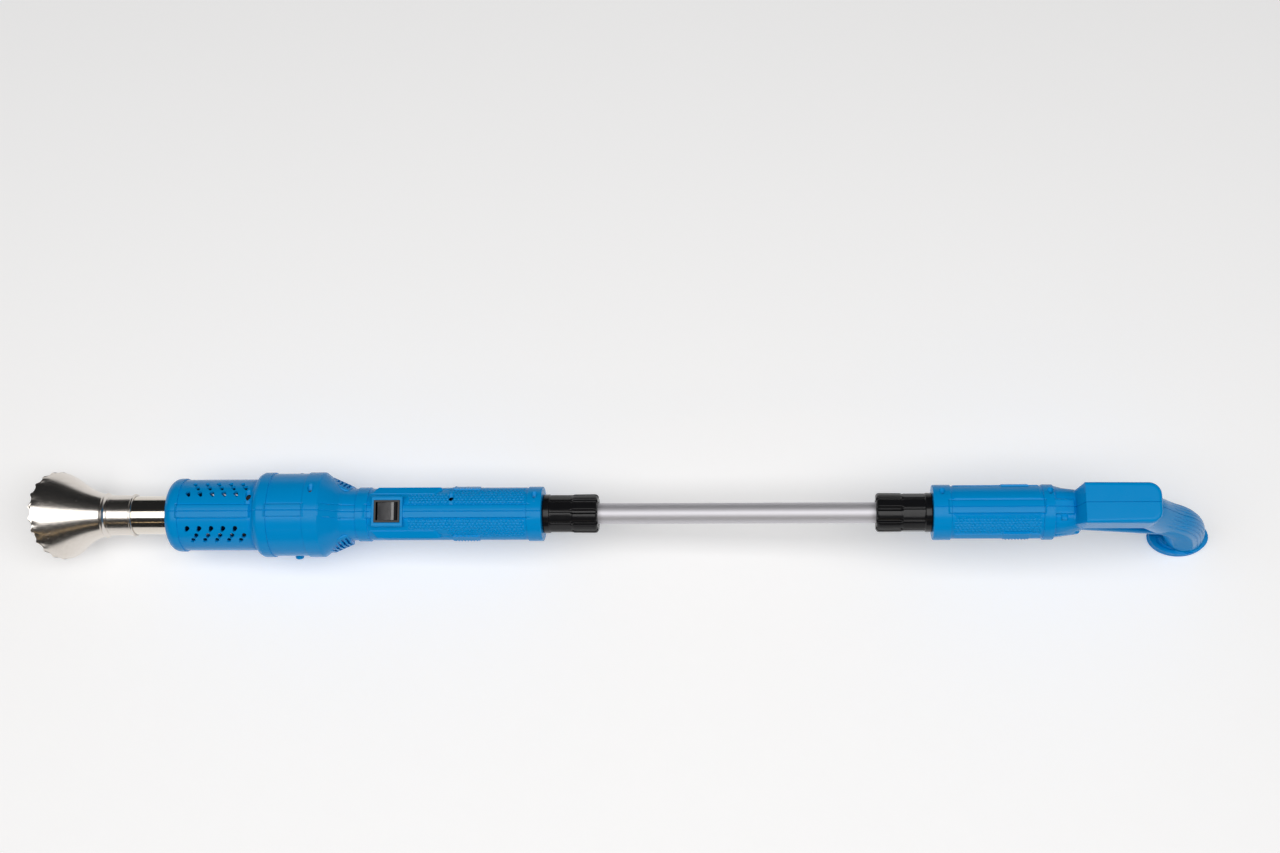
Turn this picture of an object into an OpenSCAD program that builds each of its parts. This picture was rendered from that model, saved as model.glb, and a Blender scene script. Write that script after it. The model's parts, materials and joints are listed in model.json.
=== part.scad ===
// Electric hot-air weed burner: a heater and fan head on a telescopic tube, with a
// pistol-grip handle at the far end. It lies at rest on its foot and on the bell's lower rim.
// Row frame: origin at the centre of the foot's flat underside, +X from the bell to the handle,
// +Z up. Most pieces are drawn along the wand's axis first: x is then the distance from the
// middle of the bell's mouth, and z is up.

/* [Stance] */
// Turn of the head about the wand, its top towards -Y
head_turn = 6; // [0:1:12]
// Height of the wand's axis over the foot's underside, square to the axis
foot_drop = 114; // [95:0.1:140]

/* [Nozzle] */
// Radius of the bell's rim
bell_r = 39.8; // [34:0.1:46]
// Length of the bell, from the middle of its mouth to its neck
bell_len = 50; // [42:1:60]
// How far the mouth leans forward at the top, as a share of height
bell_lean = 0.39; // [0.2:0.01:0.45]
// Thickness of the bell's sheet
bell_wall = 0.8; // [0.6:0.1:1.2]
// Length of the straight neck that slides over the heater tube
neck_len = 19; // [12:1:23]

/* [Heater] */
// Radius of the heater tube
tube_r = 17.5; // [14.5:0.1:19]
// Wall of the heater tube
tube_wall = 0.7; // [0.5:0.1:1]
// Bare length of the heater tube between nozzle and guard
bare_len = 33.7; // [26:0.1:45]
// Length of the ceramic former inside the heater tube
former_len = 84; // [70:1:90]
// Turns of the heating wire
coil_turns = 12; // [6:1:14]

/* [Housing] */
// Wall of the plastic shells
wall = 2.5; // [2:0.1:3]
// Radius of the perforated guard
guard_r = 32.1; // [30:0.1:36]
// Length of the guard
guard_len = 82; // [78:0.5:98]
// Radius of the motor housing
house_r = 37.2; // [36:0.1:45]
// Length of the motor housing
house_len = 59.2; // [56:0.5:71]
// Length of the cone behind the motor housing
cone_len = 16.5; // [14:0.5:20]
// Width of the raised band along the seam
band_w = 11.3; // [8:0.1:13]
// How far rings and bands stand over the panels
ring_rise = 1.1; // [0.6:0.1:1.5]

/* [Grips] */
// Radius of both round grips
grip_r = 23.3; // [22.5:0.1:28]
// Length of the grip on the head, rings included
grip_len = 167; // [160:0.1:201]
// Length of the sleeve on the handle, rings included
sleeve_len = 104.5; // [96:0.5:120]

/* [Switch] */
// Length of the switch window, along the grip
window_l = 23.2; // [20:0.1:26]
// Width of the switch window
window_w = 19.9; // [17:0.1:22]

/* [Tube] */
// Radius of the extension tube
pole_r = 9.25; // [8:0.05:10]
// Wall of the extension tube
pole_wall = 1; // [0.8:0.1:1.5]
// Bare length of the extension tube, between the collars
pole_bare = 245.6; // [180:0.5:320]
// How far the tube can be pushed into the head
pole_travel = 60; // [40:1:65]
// Length of each clamping collar
collar_len = 49; // [40:0.1:60]
// Radius of the collars
collar_r = 17; // [16.5:0.1:19]

/* [Handle] */
// Length of the flat-topped bar
bar_len = 65.1; // [58:0.5:78]
// Width of the bar
bar_w = 36; // [33:0.5:42]
// Height of the bar's top over the wand's axis
bar_top = 40; // [37:0.5:46]
// Length of the oval foot
foot_l = 55.6; // [50:0.1:66]
// Width of the oval foot
foot_w = 36; // [33:0.1:43]
// Thickness of the foot cap
foot_t = 6; // [5:0.5:8]
// Radius of the hole that the power lead comes in by
inlet_r = 3.6; // [3:0.1:4.2]

/* [Hidden] */
$fn = 64;
hull_fn = 32;
fit = 0.05;
gap = 0.3;
big = 200;

// Stations along the wand, from the middle of the bell's mouth
x_neck_end = bell_len + neck_len;
x_guard = x_neck_end + bare_len;
x_house = x_guard + guard_len;
x_cone = x_house + house_len;
x_neck = x_cone + cone_len;
x_grip = x_neck + 14.6;
x_grip_end = x_grip + grip_len;
x_lower_end = x_grip_end + gap + collar_len;
x_upper = x_lower_end + pole_bare;
x_sleeve = x_upper + collar_len + gap;
x_sleeve_end = x_sleeve + sleeve_len;
x_bar = x_sleeve_end + 22.9;
x_bar_end = x_bar + bar_len;
foot_x = x_bar_end + 42.7;
rise = foot_drop - bell_r;
lay_angle = atan(rise / (foot_x - bell_r * bell_lean));

// Rings, noses and inner walls of the shells
nose = 9;
ring_w = 13.4;
rear_wall = 13;
grip_ring_w = 11;
cavity_r = grip_r - wall;
funnel_len = 18;
x_funnel = x_house - funnel_len + 2;

// Vents in the guard: angle from the seam, start and size of each row
vent_rows = [[29.5, 0], [42, 7.4], [51.5, 3.8]];
vents_per_row = 5;
vent_pitch = (guard_len - 34) / (vents_per_row - 0.6);
vent_w = 3.6;
vent_l = 6;
vent_slant = 24;

// Screws: a station and a height on each site, in both shells of a pair
post_r = 3.3;
screw_r = 1.3;
screw_head_r = 2.3;
throat_r = guard_r - wall - 1.6 - post_r - 0.4;
head_sites = [for (up = [1, -1]) each [
    [x_house - 5, up * (guard_r - wall - 1.6)],
    [x_cone - 7, up * (house_r - wall - 2.6)],
    [x_grip + 86, up * (cavity_r - 2)],
    [x_grip_end - 6.5, up * (cavity_r - 2)]]];
sleeve_sites = [for (up = [1, -1]) each [
    [x_sleeve + 8, up * (cavity_r - 2)],
    [x_sleeve_end - 3.4, up * (cavity_r - 2)]]];

// Motor and fan
motor_r = 18;
motor_len = 36;
x_motor = x_house + 7;
x_motor_end = x_motor + motor_len;
shaft_r = 1.6;
bush_r = 4;
bush_len = 4;
fan_r = house_r - wall - 2.6 - post_r - 0.7;
fan_len = 8;
x_fan = x_motor_end + 3.5;
fan_blades = 9;

// Switch
x_switch = x_grip + 29.5;
switch_top = grip_r + 2;
rocker_pivot = grip_r - 4;
rocker_r = window_l / 2 - 2;
rocker_w = window_w - 4;

// Side buttons
button_l = 22;
button_h = 6.4;
button_proud = 1.1;
button_travel = 2.2;
button_out = grip_r + button_proud;
button_flange_y = sqrt(pow(cavity_r, 2) - pow(button_h / 2 + 1.6, 2)) - 1.4;
x_lower_button = x_grip + 98.8;
x_upper_button = x_sleeve + 71.8;
tooth_pitch = 2.6;

// Tube, collets and collars
collet_r = 14;
guide_r = pole_r + 2.2;
collet_nose_r = 11;
pole_front = x_grip_end - 47;
pole_back = x_upper + collar_len + 62;
flute_count = 10;
flute_len = 22;
cable_r = 3.2;

// Handle: middle of the grip's oval sections, their half sizes and tilts
bar_bottom = 13;
flange_t = 3;
grip_sections = [
    [x_bar_end - 13, 17, 17, 14.5, 0],
    [x_bar_end + 10, -24, 17.5, 14.5, 38],
    [foot_x - 9, -54, 18, 14.5, 38],
    [foot_x + 6, -86, 18.2, 14.5, 15],
    [foot_x + 8, foot_t + flange_t - 1.5 - foot_drop, 17.4, 15, -lay_angle]];
strut_front = [x_bar - 6, -15.5];
strut_rear = [x_bar_end + 28, -66];

function oval(a, b, n = 48) = [for (i = [0 : n - 1]) [a * cos(360 * i / n), b * sin(360 * i / n)]];
function nose_arc(r, x, d, n = 6) =
    [for (i = [0 : n]) [r - d + d * sin(90 * i / n), x + d - d * cos(90 * i / n)]];

// From the wand's own axis to the row frame, for the parts of the handle and of the head
module on_wand() rotate([0, -lay_angle, 0]) translate([-foot_x, 0, foot_drop]) children();
module in_head() on_wand() rotate([head_turn, 0, 0]) children();
module in_foot() translate([foot_x, 0, -foot_drop]) rotate([0, lay_angle, 0]) children();

module turned(points) rotate([0, 90, 0]) rotate_extrude() polygon(points);
module rod(x, l, r) translate([x, 0, 0]) rotate([0, 90, 0]) cylinder(h = l, r = r);
module pipe(x, l, ro, ri) difference() {
    rod(x, l, ro);
    rod(x - 1, l + 2, ri);
}
module half(side) translate([-big, side > 0 ? 0 : -2 * big, -big]) cube([8 * big, 2 * big, 2 * big]);

// A tube swept along a list of points, with one ring of 8 sides at each
function unit(v) = v / norm(v);
function ring_at(points, i, r) = let (
    last = len(points) - 1,
    d = unit(points[min(i + 1, last)] - points[max(i - 1, 0)]),
    u = [0, 1, 0],
    w = cross(d, u)) [for (k = [0 : 7]) points[i] + r * (cos(45 * k) * u + sin(45 * k) * w)];
module swept(points, r) {
    last = len(points) - 1;
    polyhedron(
        points = [for (i = [0 : last]) each ring_at(points, i, r)],
        faces = [[for (k = [7 : -1 : 0]) k], [for (k = [0 : 7]) last * 8 + k],
            for (i = [0 : last - 1]) for (k = [0 : 7])
                [i * 8 + k, i * 8 + (k + 1) % 8, (i + 1) * 8 + (k + 1) % 8, (i + 1) * 8 + k]]);
}

// ---- Nozzle ----
function bell_radius(t) = tube_r + fit + bell_wall
    + (bell_r - tube_r - fit - bell_wall) * (1 + cos(180 * pow(t, 0.72))) / 2;
function bell_ring(t, d, n) = [for (k = [0 : n - 1]) let (
    r = bell_radius(t) - d,
    z = r * sin(360 * k / n))
    [bell_len * t - z * bell_lean * pow(1 - t, 1.6), r * cos(360 * k / n), z]];

module nozzle_bell() color("gainsboro") on_wand() {
    n = 48;
    m = 14;
    outer = [for (i = [0 : m]) each bell_ring(i / m, 0, n)];
    inner = [for (i = [m : -1 : 0]) each bell_ring(i / m, bell_wall, n)];
    rings = 2 * (m + 1);
    polyhedron(points = concat(outer, inner), faces = [for (i = [0 : rings - 1]) for (k = [0 : n - 1])
        let (j = (i + 1) % rings, l = (k + 1) % n)
        [i * n + k, j * n + k, j * n + l, i * n + l]]);
}

module nozzle_neck() color("gainsboro") on_wand() {
    r = tube_r + fit;
    pipe(bell_len, neck_len, r + bell_wall, r);
    difference() {
        rotate([0, 90, 0]) translate([0, 0, x_neck_end - 1.2]) rotate_extrude()
            translate([r + bell_wall, 0]) circle(r = 1, $fn = 24);
        rod(0, big, r + 0.01);
    }
}

// ---- Heater ----
x_tube = bell_len - 6;
tube_in = tube_r - tube_wall;
x_former = x_neck_end + 6;

module heater_tube() color("silver") in_head() {
    pipe(x_tube, x_funnel - x_tube, tube_r, tube_in);
    pipe(x_funnel - 1.2, 1.2, throat_r, tube_in);
}

module heater_former() color("ivory") in_head() difference() {
    union() {
        for (turn = [0, 90]) rotate([turn, 0, 0])
            translate([x_former, -tube_in + 5.5, -1]) cube([former_len, 2 * tube_in - 11, 2]);
        rod(x_former, former_len, 3);
    }
    rod(x_former - 1, former_len + 2, 1.5);
}

// The wire is wound on the outer edges of the former
module heating_wire() color("dimgray") in_head() {
    per_turn = 14;
    steps = coil_turns * per_turn;
    r = tube_in - 4.5;
    swept([for (i = [0 : steps]) let (a = 360 * i / per_turn)
        [x_former + 6 + (former_len - 12) * i / steps, r * sin(a), r * cos(a)]], 0.5);
}

module mica_sleeve() color("tan") in_head() pipe(x_former - 2, former_len + 4, tube_in - 0.3, tube_in - 0.9);

module thermal_cutout() color("gray") in_head() {
    rod(x_former + former_len + 1, 2.5, 5);
    translate([x_former + former_len + 3.5, -3, -5]) cube([5, 6, 10]);
}

// It passes inside the front screw posts, then opens out along the housing's shoulder
module air_funnel() color("dimgray") in_head() {
    rim = house_r - wall - 0.2;
    t = 1.6;
    turned([[tube_in, x_funnel], [throat_r, x_funnel], [throat_r, x_house - 1.4],
        [guard_r - wall - 0.5, x_house + 1.8], [rim, x_house + 6.8], [rim, x_house + 10],
        [rim - t, x_house + 10], [rim - t, x_house + 7.4], [throat_r - t, x_house - 0.6],
        [throat_r - t, x_funnel + 3.5], [tube_in, x_funnel + 2]]);
}

// ---- Housing ----
module head_body() {
    turned(concat([[0, x_guard]],
        nose_arc(guard_r + ring_rise, x_guard, nose),
        [[guard_r + ring_rise, x_guard + ring_w], [guard_r, x_guard + ring_w], [guard_r, x_house]],
        nose_arc(house_r + ring_rise, x_house, 5),
        [[house_r + ring_rise, x_house + ring_w], [house_r, x_house + ring_w],
        [house_r, x_cone - ring_w], [house_r + ring_rise, x_cone - ring_w],
        [house_r + ring_rise, x_cone], [grip_r + 1.7, x_neck], [grip_r, x_neck + 0.5],
        [grip_r, x_grip], [grip_r + ring_rise, x_grip],
        [grip_r + ring_rise, x_grip + grip_ring_w], [grip_r, x_grip + grip_ring_w],
        [grip_r, x_grip_end - rear_wall], [grip_r + ring_rise, x_grip_end - rear_wall],
        [grip_r + ring_rise, x_grip_end], [0, x_grip_end]]));
    seam_band(x_guard + nose, x_house + 4, guard_r);
    seam_band(x_house + 4, x_cone - 4, house_r);
    seam_band(x_grip, x_grip_end, grip_r);
    switch_frame();
    for (side = [1, -1]) {
        intake_scoop(side);
        hanging_lug(side);
    }
}

module seam_band(x, x_end, r) intersection() {
    rod(x, x_end - x, r + ring_rise);
    translate([x - 1, -band_w / 2, -big]) cube([x_end - x + 2, band_w, 2 * big]);
}

module switch_frame() translate([x_switch - window_l / 2 - 2.6, -window_w / 2 - 3.7, grip_r * 0.6])
    cube([window_l + 5.2, window_w + 7.4, switch_top - grip_r * 0.6]);

// Air scoop on the cone, open through louvres into the cone
scoop_top = 9;
scoop_low = -13;
module intake_scoop(side) {
    r = house_r + ring_rise;
    translate([0, 0, scoop_low]) linear_extrude(scoop_top - scoop_low) polygon([
        [x_cone - 5, side * (r - 8)], [x_cone + 2, side * (r - 4.6)], [x_cone + 7, side * (r - 5)],
        [x_neck + 7.5, side * (grip_r + 2.6)], [x_neck + 7.5, side * (grip_r - 6)],
        [x_cone - 5, side * (grip_r - 6)]]);
}
module scoop_louvres(side) {
    count = 4;
    pitch = (cone_len + 1) / count;
    for (i = [0 : count - 1])
        translate([x_cone + 3.6 + pitch * i, side > 0 ? 0 : -big / 4, scoop_low + 3])
            rotate([0, 0, side * -28]) translate([0, side > 0 ? 14 : 0, 0])
                cube([pitch * 0.45, big / 4 - 14, scoop_top - scoop_low - 6]);
}

module hanging_lug(side) rotate([side * (-90 - 20), 0, 0])
    translate([x_house + 32.6, 0, house_r - 2]) cylinder(h = 5.6, r = 4);

module head_cavity() {
    turned([[0, x_guard + wall], [guard_r - nose + 1, x_guard + wall],
        [guard_r - wall, x_guard + nose + 1], [guard_r - wall, x_house + 1.5],
        [house_r - wall, x_house + 6.4], [house_r - wall, x_cone - 1], [cavity_r, x_neck],
        [cavity_r, x_grip_end - rear_wall], [0, x_grip_end - rear_wall]]);
    rod(x_guard - 1, wall + 2, tube_r + fit);
    rod(x_grip_end - rear_wall - 1, rear_wall + 2, collet_r + fit);
    translate([x_switch - window_l / 2, -window_w / 2, 0]) cube([window_l, window_w, big]);
}

module vents(side) for (up = [0, 180]) for (row = vent_rows) for (i = [0 : vents_per_row - 1])
    rotate([(up == 0 ? -1 : 1) * side * row[0] + up, 0, 0])
        translate([x_guard + 22 + row[1] + vent_pitch * i, 0, guard_r - wall - 2])
            rotate([0, 0, side * vent_slant]) linear_extrude(wall + 6) {
                for (end = [1, -1]) translate([0, end * (vent_l - vent_w) / 2]) circle(r = vent_w / 2);
                square([vent_w, vent_l - vent_w], center = true);
            }

// Screw posts, with the screw's own hole in each half
post_len = 11;
seat_y = 6;
module across(x, z, y, l, r) translate([x, y, z]) rotate([-90, 0, 0]) cylinder(h = l, r = r);
module posts(sites) for (s = sites) across(s[0], s[1], -post_len, 2 * post_len, post_r);
module screw_ways(sites) for (s = sites) {
    across(s[0], s[1], -post_len + 1, 2 * post_len, screw_r + fit);
    across(s[0], s[1], seat_y, big / 4, screw_head_r + 0.3);
}
module screws(sites) for (s = sites) {
    across(s[0], s[1], -post_len + 2, seat_y + post_len - 2, screw_r);
    difference() {
        across(s[0], s[1], seat_y, 2, screw_head_r);
        across(s[0], s[1], seat_y + 1, 2, 0.8);
    }
}

module button_window(x, side) translate([x - button_l / 2 - gap, side > 0 ? 0 : -big, -button_h / 2 - gap])
    cube([button_l + 2 * gap, big, button_h + 2 * gap]);

module head_half(side) difference() {
    union() {
        difference() {
            head_body();
            head_cavity();
        }
        intersection() {
            posts(head_sites);
            head_solid_core();
        }
    }
    half(-side);
    vents(side);
    scoop_louvres(side);
    screw_ways(head_sites);
    button_window(x_lower_button, side);
}
module head_solid_core() {
    rod(x_guard + nose, x_house - x_guard, guard_r - 0.5);
    rod(x_house + nose, house_len - nose, house_r - 0.5);
    rod(x_grip, grip_len, grip_r - 0.5);
}

module housing_left() color("dodgerblue") in_head() head_half(-1);
module housing_right() color("dodgerblue") in_head() head_half(1);
module housing_screws() color("dimgray") in_head() screws(head_sites);

// ---- Motor and fan ----
module motor_can() color("silver") in_head() difference() {
    rod(x_motor, motor_len - 3, motor_r);
    rod(x_motor + 1.2, motor_len, motor_r - 1.2);
    rod(x_motor - 1, 5, bush_r);
}
module motor_magnets() color("dimgray") in_head() difference() {
    pipe(x_motor + 6, 22, motor_r - 1.2, motor_r - 5);
    translate([x_motor, -5, -big]) cube([big, 10, 2 * big]);
}
module motor_end_cap() color("black") in_head() difference() {
    rod(x_motor_end - 3, 3, motor_r);
    rod(x_motor_end - 4, 6, bush_r);
}
module front_bearing() color("darkgoldenrod") in_head() pipe(x_motor, bush_len, bush_r, shaft_r + fit);
module rear_bearing() color("darkgoldenrod") in_head()
    pipe(x_motor_end - bush_len, bush_len, bush_r, shaft_r + fit);
module motor_shaft() color("silver") in_head() rod(x_motor - 2, x_fan + fan_len + 2 - x_motor, shaft_r);
module motor_armature() color("saddlebrown") in_head() difference() {
    pipe(x_motor + 7, 18, motor_r - 6, shaft_r);
    for (a = [0 : 60 : 300]) rotate([a, 0, 0])
        translate([x_motor, -0.8, motor_r - 11]) cube([motor_len, 1.6, 10]);
}
module motor_commutator() color("peru") in_head() pipe(x_motor + 26, 5, 4.5, shaft_r);
module motor_cradle() color("dimgray") in_head() {
    rim = house_r - wall - 0.2;
    pipe(x_motor + 12, 8, motor_r + 3, motor_r);
    pipe(x_motor + 12, 8, rim, rim - 2);
    for (a = [45 : 90 : 315]) rotate([a, 0, 0])
        translate([x_motor + 12, -1, motor_r + 2.5]) cube([8, 2, rim - motor_r - 3.5]);
}
module fan_wheel() color("black") in_head() {
    pipe(x_fan, fan_len, 6, shaft_r);
    for (i = [0 : fan_blades - 1]) rotate([360 * i / fan_blades, 0, 0])
        translate([x_fan + fan_len / 2, 0, 5]) rotate([0, 0, 32])
            translate([-0.7, -4, 0]) cube([1.4, 8, fan_r - 6.2]);
    pipe(x_fan + 0.5, fan_len - 1, fan_r, fan_r - 1.6);
}
module fan_shroud() color("dimgray") in_head() {
    difference() {
        pipe(x_fan - 2, fan_len + 4, house_r - wall - 0.2, fan_r + 1.4);
        for (s = head_sites) across(s[0], s[1], -big / 4, big / 2, post_r + gap);
    }
}

// ---- Controls in the grip ----
module control_board() color("seagreen") in_head() {
    translate([x_neck + 1.7, -11, -9]) cube([24, 22, 1.6]);
    translate([x_neck + 4.7, -8, -7.4]) cube([8, 6, 7]);
    translate([x_neck + 18.7, 4, -7.4]) rotate([0, 0, 0]) cylinder(h = 9, r = 4);
}
module switch_body() color("black") in_head() {
    translate([x_switch - rocker_r + 0.4, -rocker_w / 2, -2])
        cube([2 * rocker_r - 0.8, rocker_w, rocker_pivot - rocker_r * 0.62 + 2]);
    for (i = [-1 : 1]) translate([x_switch + 6 * i - 0.4, -3, -9]) cube([0.8, 6, 8]);
}
module switch_bezel() color("black") in_head() translate([x_switch, 0, 0]) difference() {
    translate([-window_l / 2 + fit, -window_w / 2 + fit, rocker_pivot - 6])
        cube([window_l - 2 * fit, window_w - 2 * fit, switch_top + 0.4 - rocker_pivot + 6]);
    translate([-rocker_r - gap, -rocker_w / 2 - gap, -big])
        cube([2 * rocker_r + 2 * gap, rocker_w + 2 * gap, 2 * big]);
}
module switch_rocker() color("dimgray") in_head() translate([x_switch, rocker_w / 2, rocker_pivot])
    rotate([90, 0, 0]) linear_extrude(rocker_w) intersection() {
        circle(r = rocker_r);
        polygon([[-rocker_r, -3], [-rocker_r, 4.2], [4.6, 7.6], [rocker_r, 6], [rocker_r, -3], [0, -5]]);
    }
module head_leads() color("black") in_head() swept([[x_switch + 27, 0, -10], [x_switch + 20, 0, -14],
    [x_switch + 10, 0, -15], [x_switch, 0, -14], [x_switch - 10, 0, -13], [x_switch - 14, 0, -12],
    [x_switch - 20, 0, -11.7]], 2.4);

// A side button: a serrated pad in its window, a flange behind the wall and a post for its spring
module side_button(x, side) translate([x, 0, 0]) mirror([0, side > 0 ? 0 : 1, 0]) difference() {
    union() {
        translate([-button_l / 2, button_flange_y, -button_h / 2])
            cube([button_l, button_out - button_flange_y, button_h]);
        translate([-button_l / 2 - 1.5, button_flange_y - 1.2, -button_h / 2 - 1.2])
            cube([button_l + 3, 1.2, button_h + 2.4]);
        across(0, 0, button_flange_y - 3.4, 3, 1.4);
    }
    for (i = [-4 : 4]) translate([i * tooth_pitch, button_out, -button_h])
        rotate([0, 0, 45]) cube([1, 1, 2 * button_h]);
}
// Drawn at its pressed length, so that it stays clear of the flange
module button_springs(x) for (side = [1, -1]) mirror([0, side > 0 ? 0 : 1, 0]) {
    turns = 3;
    low = guide_r + 0.6;
    high = button_flange_y - 1.2 - button_travel - 0.6;
    rotate([0, 0, 90]) swept([for (i = [0 : turns * 12]) let (a = 30 * i)
        [low + (high - low) * i / (turns * 12), -x - 2.4 * sin(a), 2.4 * cos(a)]], 0.3);
}
module lower_button_left() color("dodgerblue") in_head() side_button(x_lower_button, -1);
module lower_button_right() color("dodgerblue") in_head() side_button(x_lower_button, 1);
module lower_button_springs() color("silver") in_head() button_springs(x_lower_button);

// ---- Clamps: drawn for the head, mirrored for the handle ----
clamp_face = x_grip_end + gap;
clamp_end = clamp_face + collar_len;
module collet(back) difference() {
    turned([[0, clamp_face - back], [guide_r, clamp_face - back], [guide_r, clamp_face - 18],
        [cavity_r - 0.2, clamp_face - 18], [cavity_r - 0.2, clamp_face - rear_wall - gap],
        [collet_r, clamp_face - rear_wall - gap], [collet_r, clamp_face + collar_len * 0.55],
        [collet_nose_r, clamp_end - 5], [0, clamp_end - 5]]);
    rod(0, 10 * big, pole_r + fit);
    for (a = [0, 60, 120]) rotate([a, 0, 0])
        translate([clamp_face + collar_len * 0.3, -0.8, -big]) cube([big, 1.6, 2 * big]);
}
module collar() difference() {
    turned([[0, clamp_face], [collar_r + 0.4, clamp_face], [collar_r + 0.4, clamp_face + 5.5],
        [collar_r, clamp_face + 6], [collar_r, clamp_end - 2.5], [collar_r - 1.2, clamp_end],
        [0, clamp_end]]);
    turned([[0, clamp_face - 1], [collet_r + gap, clamp_face - 1],
        [collet_r + gap, clamp_face + collar_len * 0.55], [collet_nose_r + gap, clamp_end - 5],
        [collet_nose_r + gap, clamp_end - 2], [0, clamp_end - 2]]);
    rod(0, 10 * big, pole_r + gap);
    for (i = [0 : flute_count - 1]) rotate([360 * i / flute_count, 0, 0])
        translate([0, 0, collar_r + 0.7]) rod(clamp_end - flute_len, flute_len + 1, 1.9);
}
module wiper() pipe(clamp_end - 4.6, 2.6, collet_nose_r + gap, pole_r + fit);
module at_handle() translate([clamp_face + x_sleeve - gap, 0, 0]) mirror([1, 0, 0]) children();

module lower_collet() color("dimgray") in_head() collet(96);
module lower_collar() color("black") in_head() collar();
module lower_wiper() color("gray") in_head() wiper();
module upper_collet() color("dimgray") on_wand() at_handle() collet(78);
module upper_collar() color("black") on_wand() at_handle() collar();
module upper_wiper() color("gray") on_wand() at_handle() wiper();

// ---- Extension tube ----
module extension_tube() color("silver") on_wand()
    pipe(pole_front, pole_back - pole_front, pole_r, pole_r - pole_wall);
module tube_bush(x) pipe(x, 12, pole_r - pole_wall, cable_r + fit);
module tube_bush_front() color("dimgray") on_wand() tube_bush(pole_front);
module tube_bush_rear() color("dimgray") on_wand() tube_bush(pole_back - 12);
module inner_cable() color("black") on_wand() rod(pole_front - 2, pole_back - pole_front + 4, cable_r);

// ---- Handle ----
module upper_button_left() color("dodgerblue") on_wand() side_button(x_upper_button, -1);
module upper_button_right() color("dodgerblue") on_wand() side_button(x_upper_button, 1);
module upper_button_springs() color("silver") on_wand() button_springs(x_upper_button);

module sleeve_body() {
    r = grip_r + ring_rise;
    turned([[0, x_sleeve], [r, x_sleeve], [r, x_sleeve + 15.6], [grip_r, x_sleeve + 15.6],
        [grip_r, x_sleeve_end - 9.5], [r, x_sleeve_end - 9.5], [r, x_sleeve_end],
        [0, x_sleeve_end]]);
    seam_band(x_sleeve, x_sleeve_end, grip_r);
}
module grip_slice(i, shrink = 0) {
    s = grip_sections[i];
    translate([s[0], 0, s[1]]) rotate([0, -s[4], 0])
        linear_extrude(1) polygon(oval(s[2] - shrink, s[3] - shrink, hull_fn));
}
module handle_solid() {
    sleeve_body();
    hull() {
        rod(x_sleeve_end - 1, 1, grip_r - 1.2);
        translate([x_bar, -bar_w / 2 + 3, -20]) cube([1, bar_w - 6, bar_top + 20]);
        translate([x_bar, -bar_w / 2, 4]) cube([1, bar_w, bar_top - 7]);
    }
    hull() {
        translate([x_bar, -bar_w / 2 + 3, bar_bottom]) cube([1, bar_w - 6, bar_top - bar_bottom]);
        translate([x_bar, -bar_w / 2, bar_bottom + 4]) cube([1, bar_w, bar_top - bar_bottom - 7]);
        for (side = [1, -1]) translate([x_bar_end - 10, side * (bar_w / 2 - 10), bar_bottom + 2]) {
            cylinder(h = bar_top - bar_bottom - 2, r = 9, $fn = hull_fn);
            cylinder(h = bar_top - bar_bottom - 5, r = 10, $fn = hull_fn);
        }
    }
    for (i = [0 : 3]) hull() {
        grip_slice(i);
        grip_slice(i + 1);
    }
    hull() {
        translate([strut_front[0], -12, strut_front[1] - 4.5]) cube([6, 24, 9]);
        translate([strut_rear[0], -7, strut_rear[1] - 5]) cube([6, 14, 10]);
    }
    in_foot() translate([0, 0, foot_t]) linear_extrude(flange_t) polygon(oval(foot_l / 2, foot_w / 2));
}
// The hollow of the pistol grip, seen from the side
hollow_w = 18;
hollow_inset = 5;
function hollow_side(dir) = [for (g = grip_sections) [g[0] + dir * (g[2] - hollow_inset), g[1]]];
module grip_hollow() rotate([90, 0, 0]) translate([0, 0, -hollow_w / 2]) linear_extrude(hollow_w)
    polygon(concat(hollow_side(-1), [[foot_x - 4, -foot_drop - 1], [foot_x + 19, -foot_drop - 1]],
        [for (i = [4 : -1 : 0]) hollow_side(1)[i]]));
module handle_cavity() {
    rod(x_sleeve - 1, rear_wall + 2, collet_r + fit);
    rod(x_sleeve + rear_wall, sleeve_len - rear_wall - 1, cavity_r);
    translate([x_sleeve_end - 4, -12, -9]) cube([x_bar + 8 - x_sleeve_end, 24, 22]);
    translate([x_bar - 6, -8, 0]) cube([14, 16, bar_bottom + 5]);
    translate([x_bar + 3, -bar_w / 2 + 3.5, bar_bottom + 3])
        cube([bar_len - 16, bar_w - 7, bar_top - bar_bottom - 6]);
    grip_hollow();
    in_foot() translate([inlet_x, 0, foot_t - 1])
        cylinder(h = inlet_len + 2.6 - foot_t, r = inlet_r + inlet_wall + gap);
}
module handle_half(side) difference() {
    union() {
        difference() {
            handle_solid();
            handle_cavity();
        }
        intersection() {
            posts(sleeve_sites);
            rod(x_sleeve + 1, sleeve_len - 1, grip_r - 0.5);
        }
    }
    half(-side);
    screw_ways(sleeve_sites);
    button_window(x_upper_button, side);
}
module handle_left() color("dodgerblue") on_wand() handle_half(-1);
module handle_right() color("dodgerblue") on_wand() handle_half(1);
module handle_screws() color("dimgray") on_wand() screws(sleeve_sites);

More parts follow.
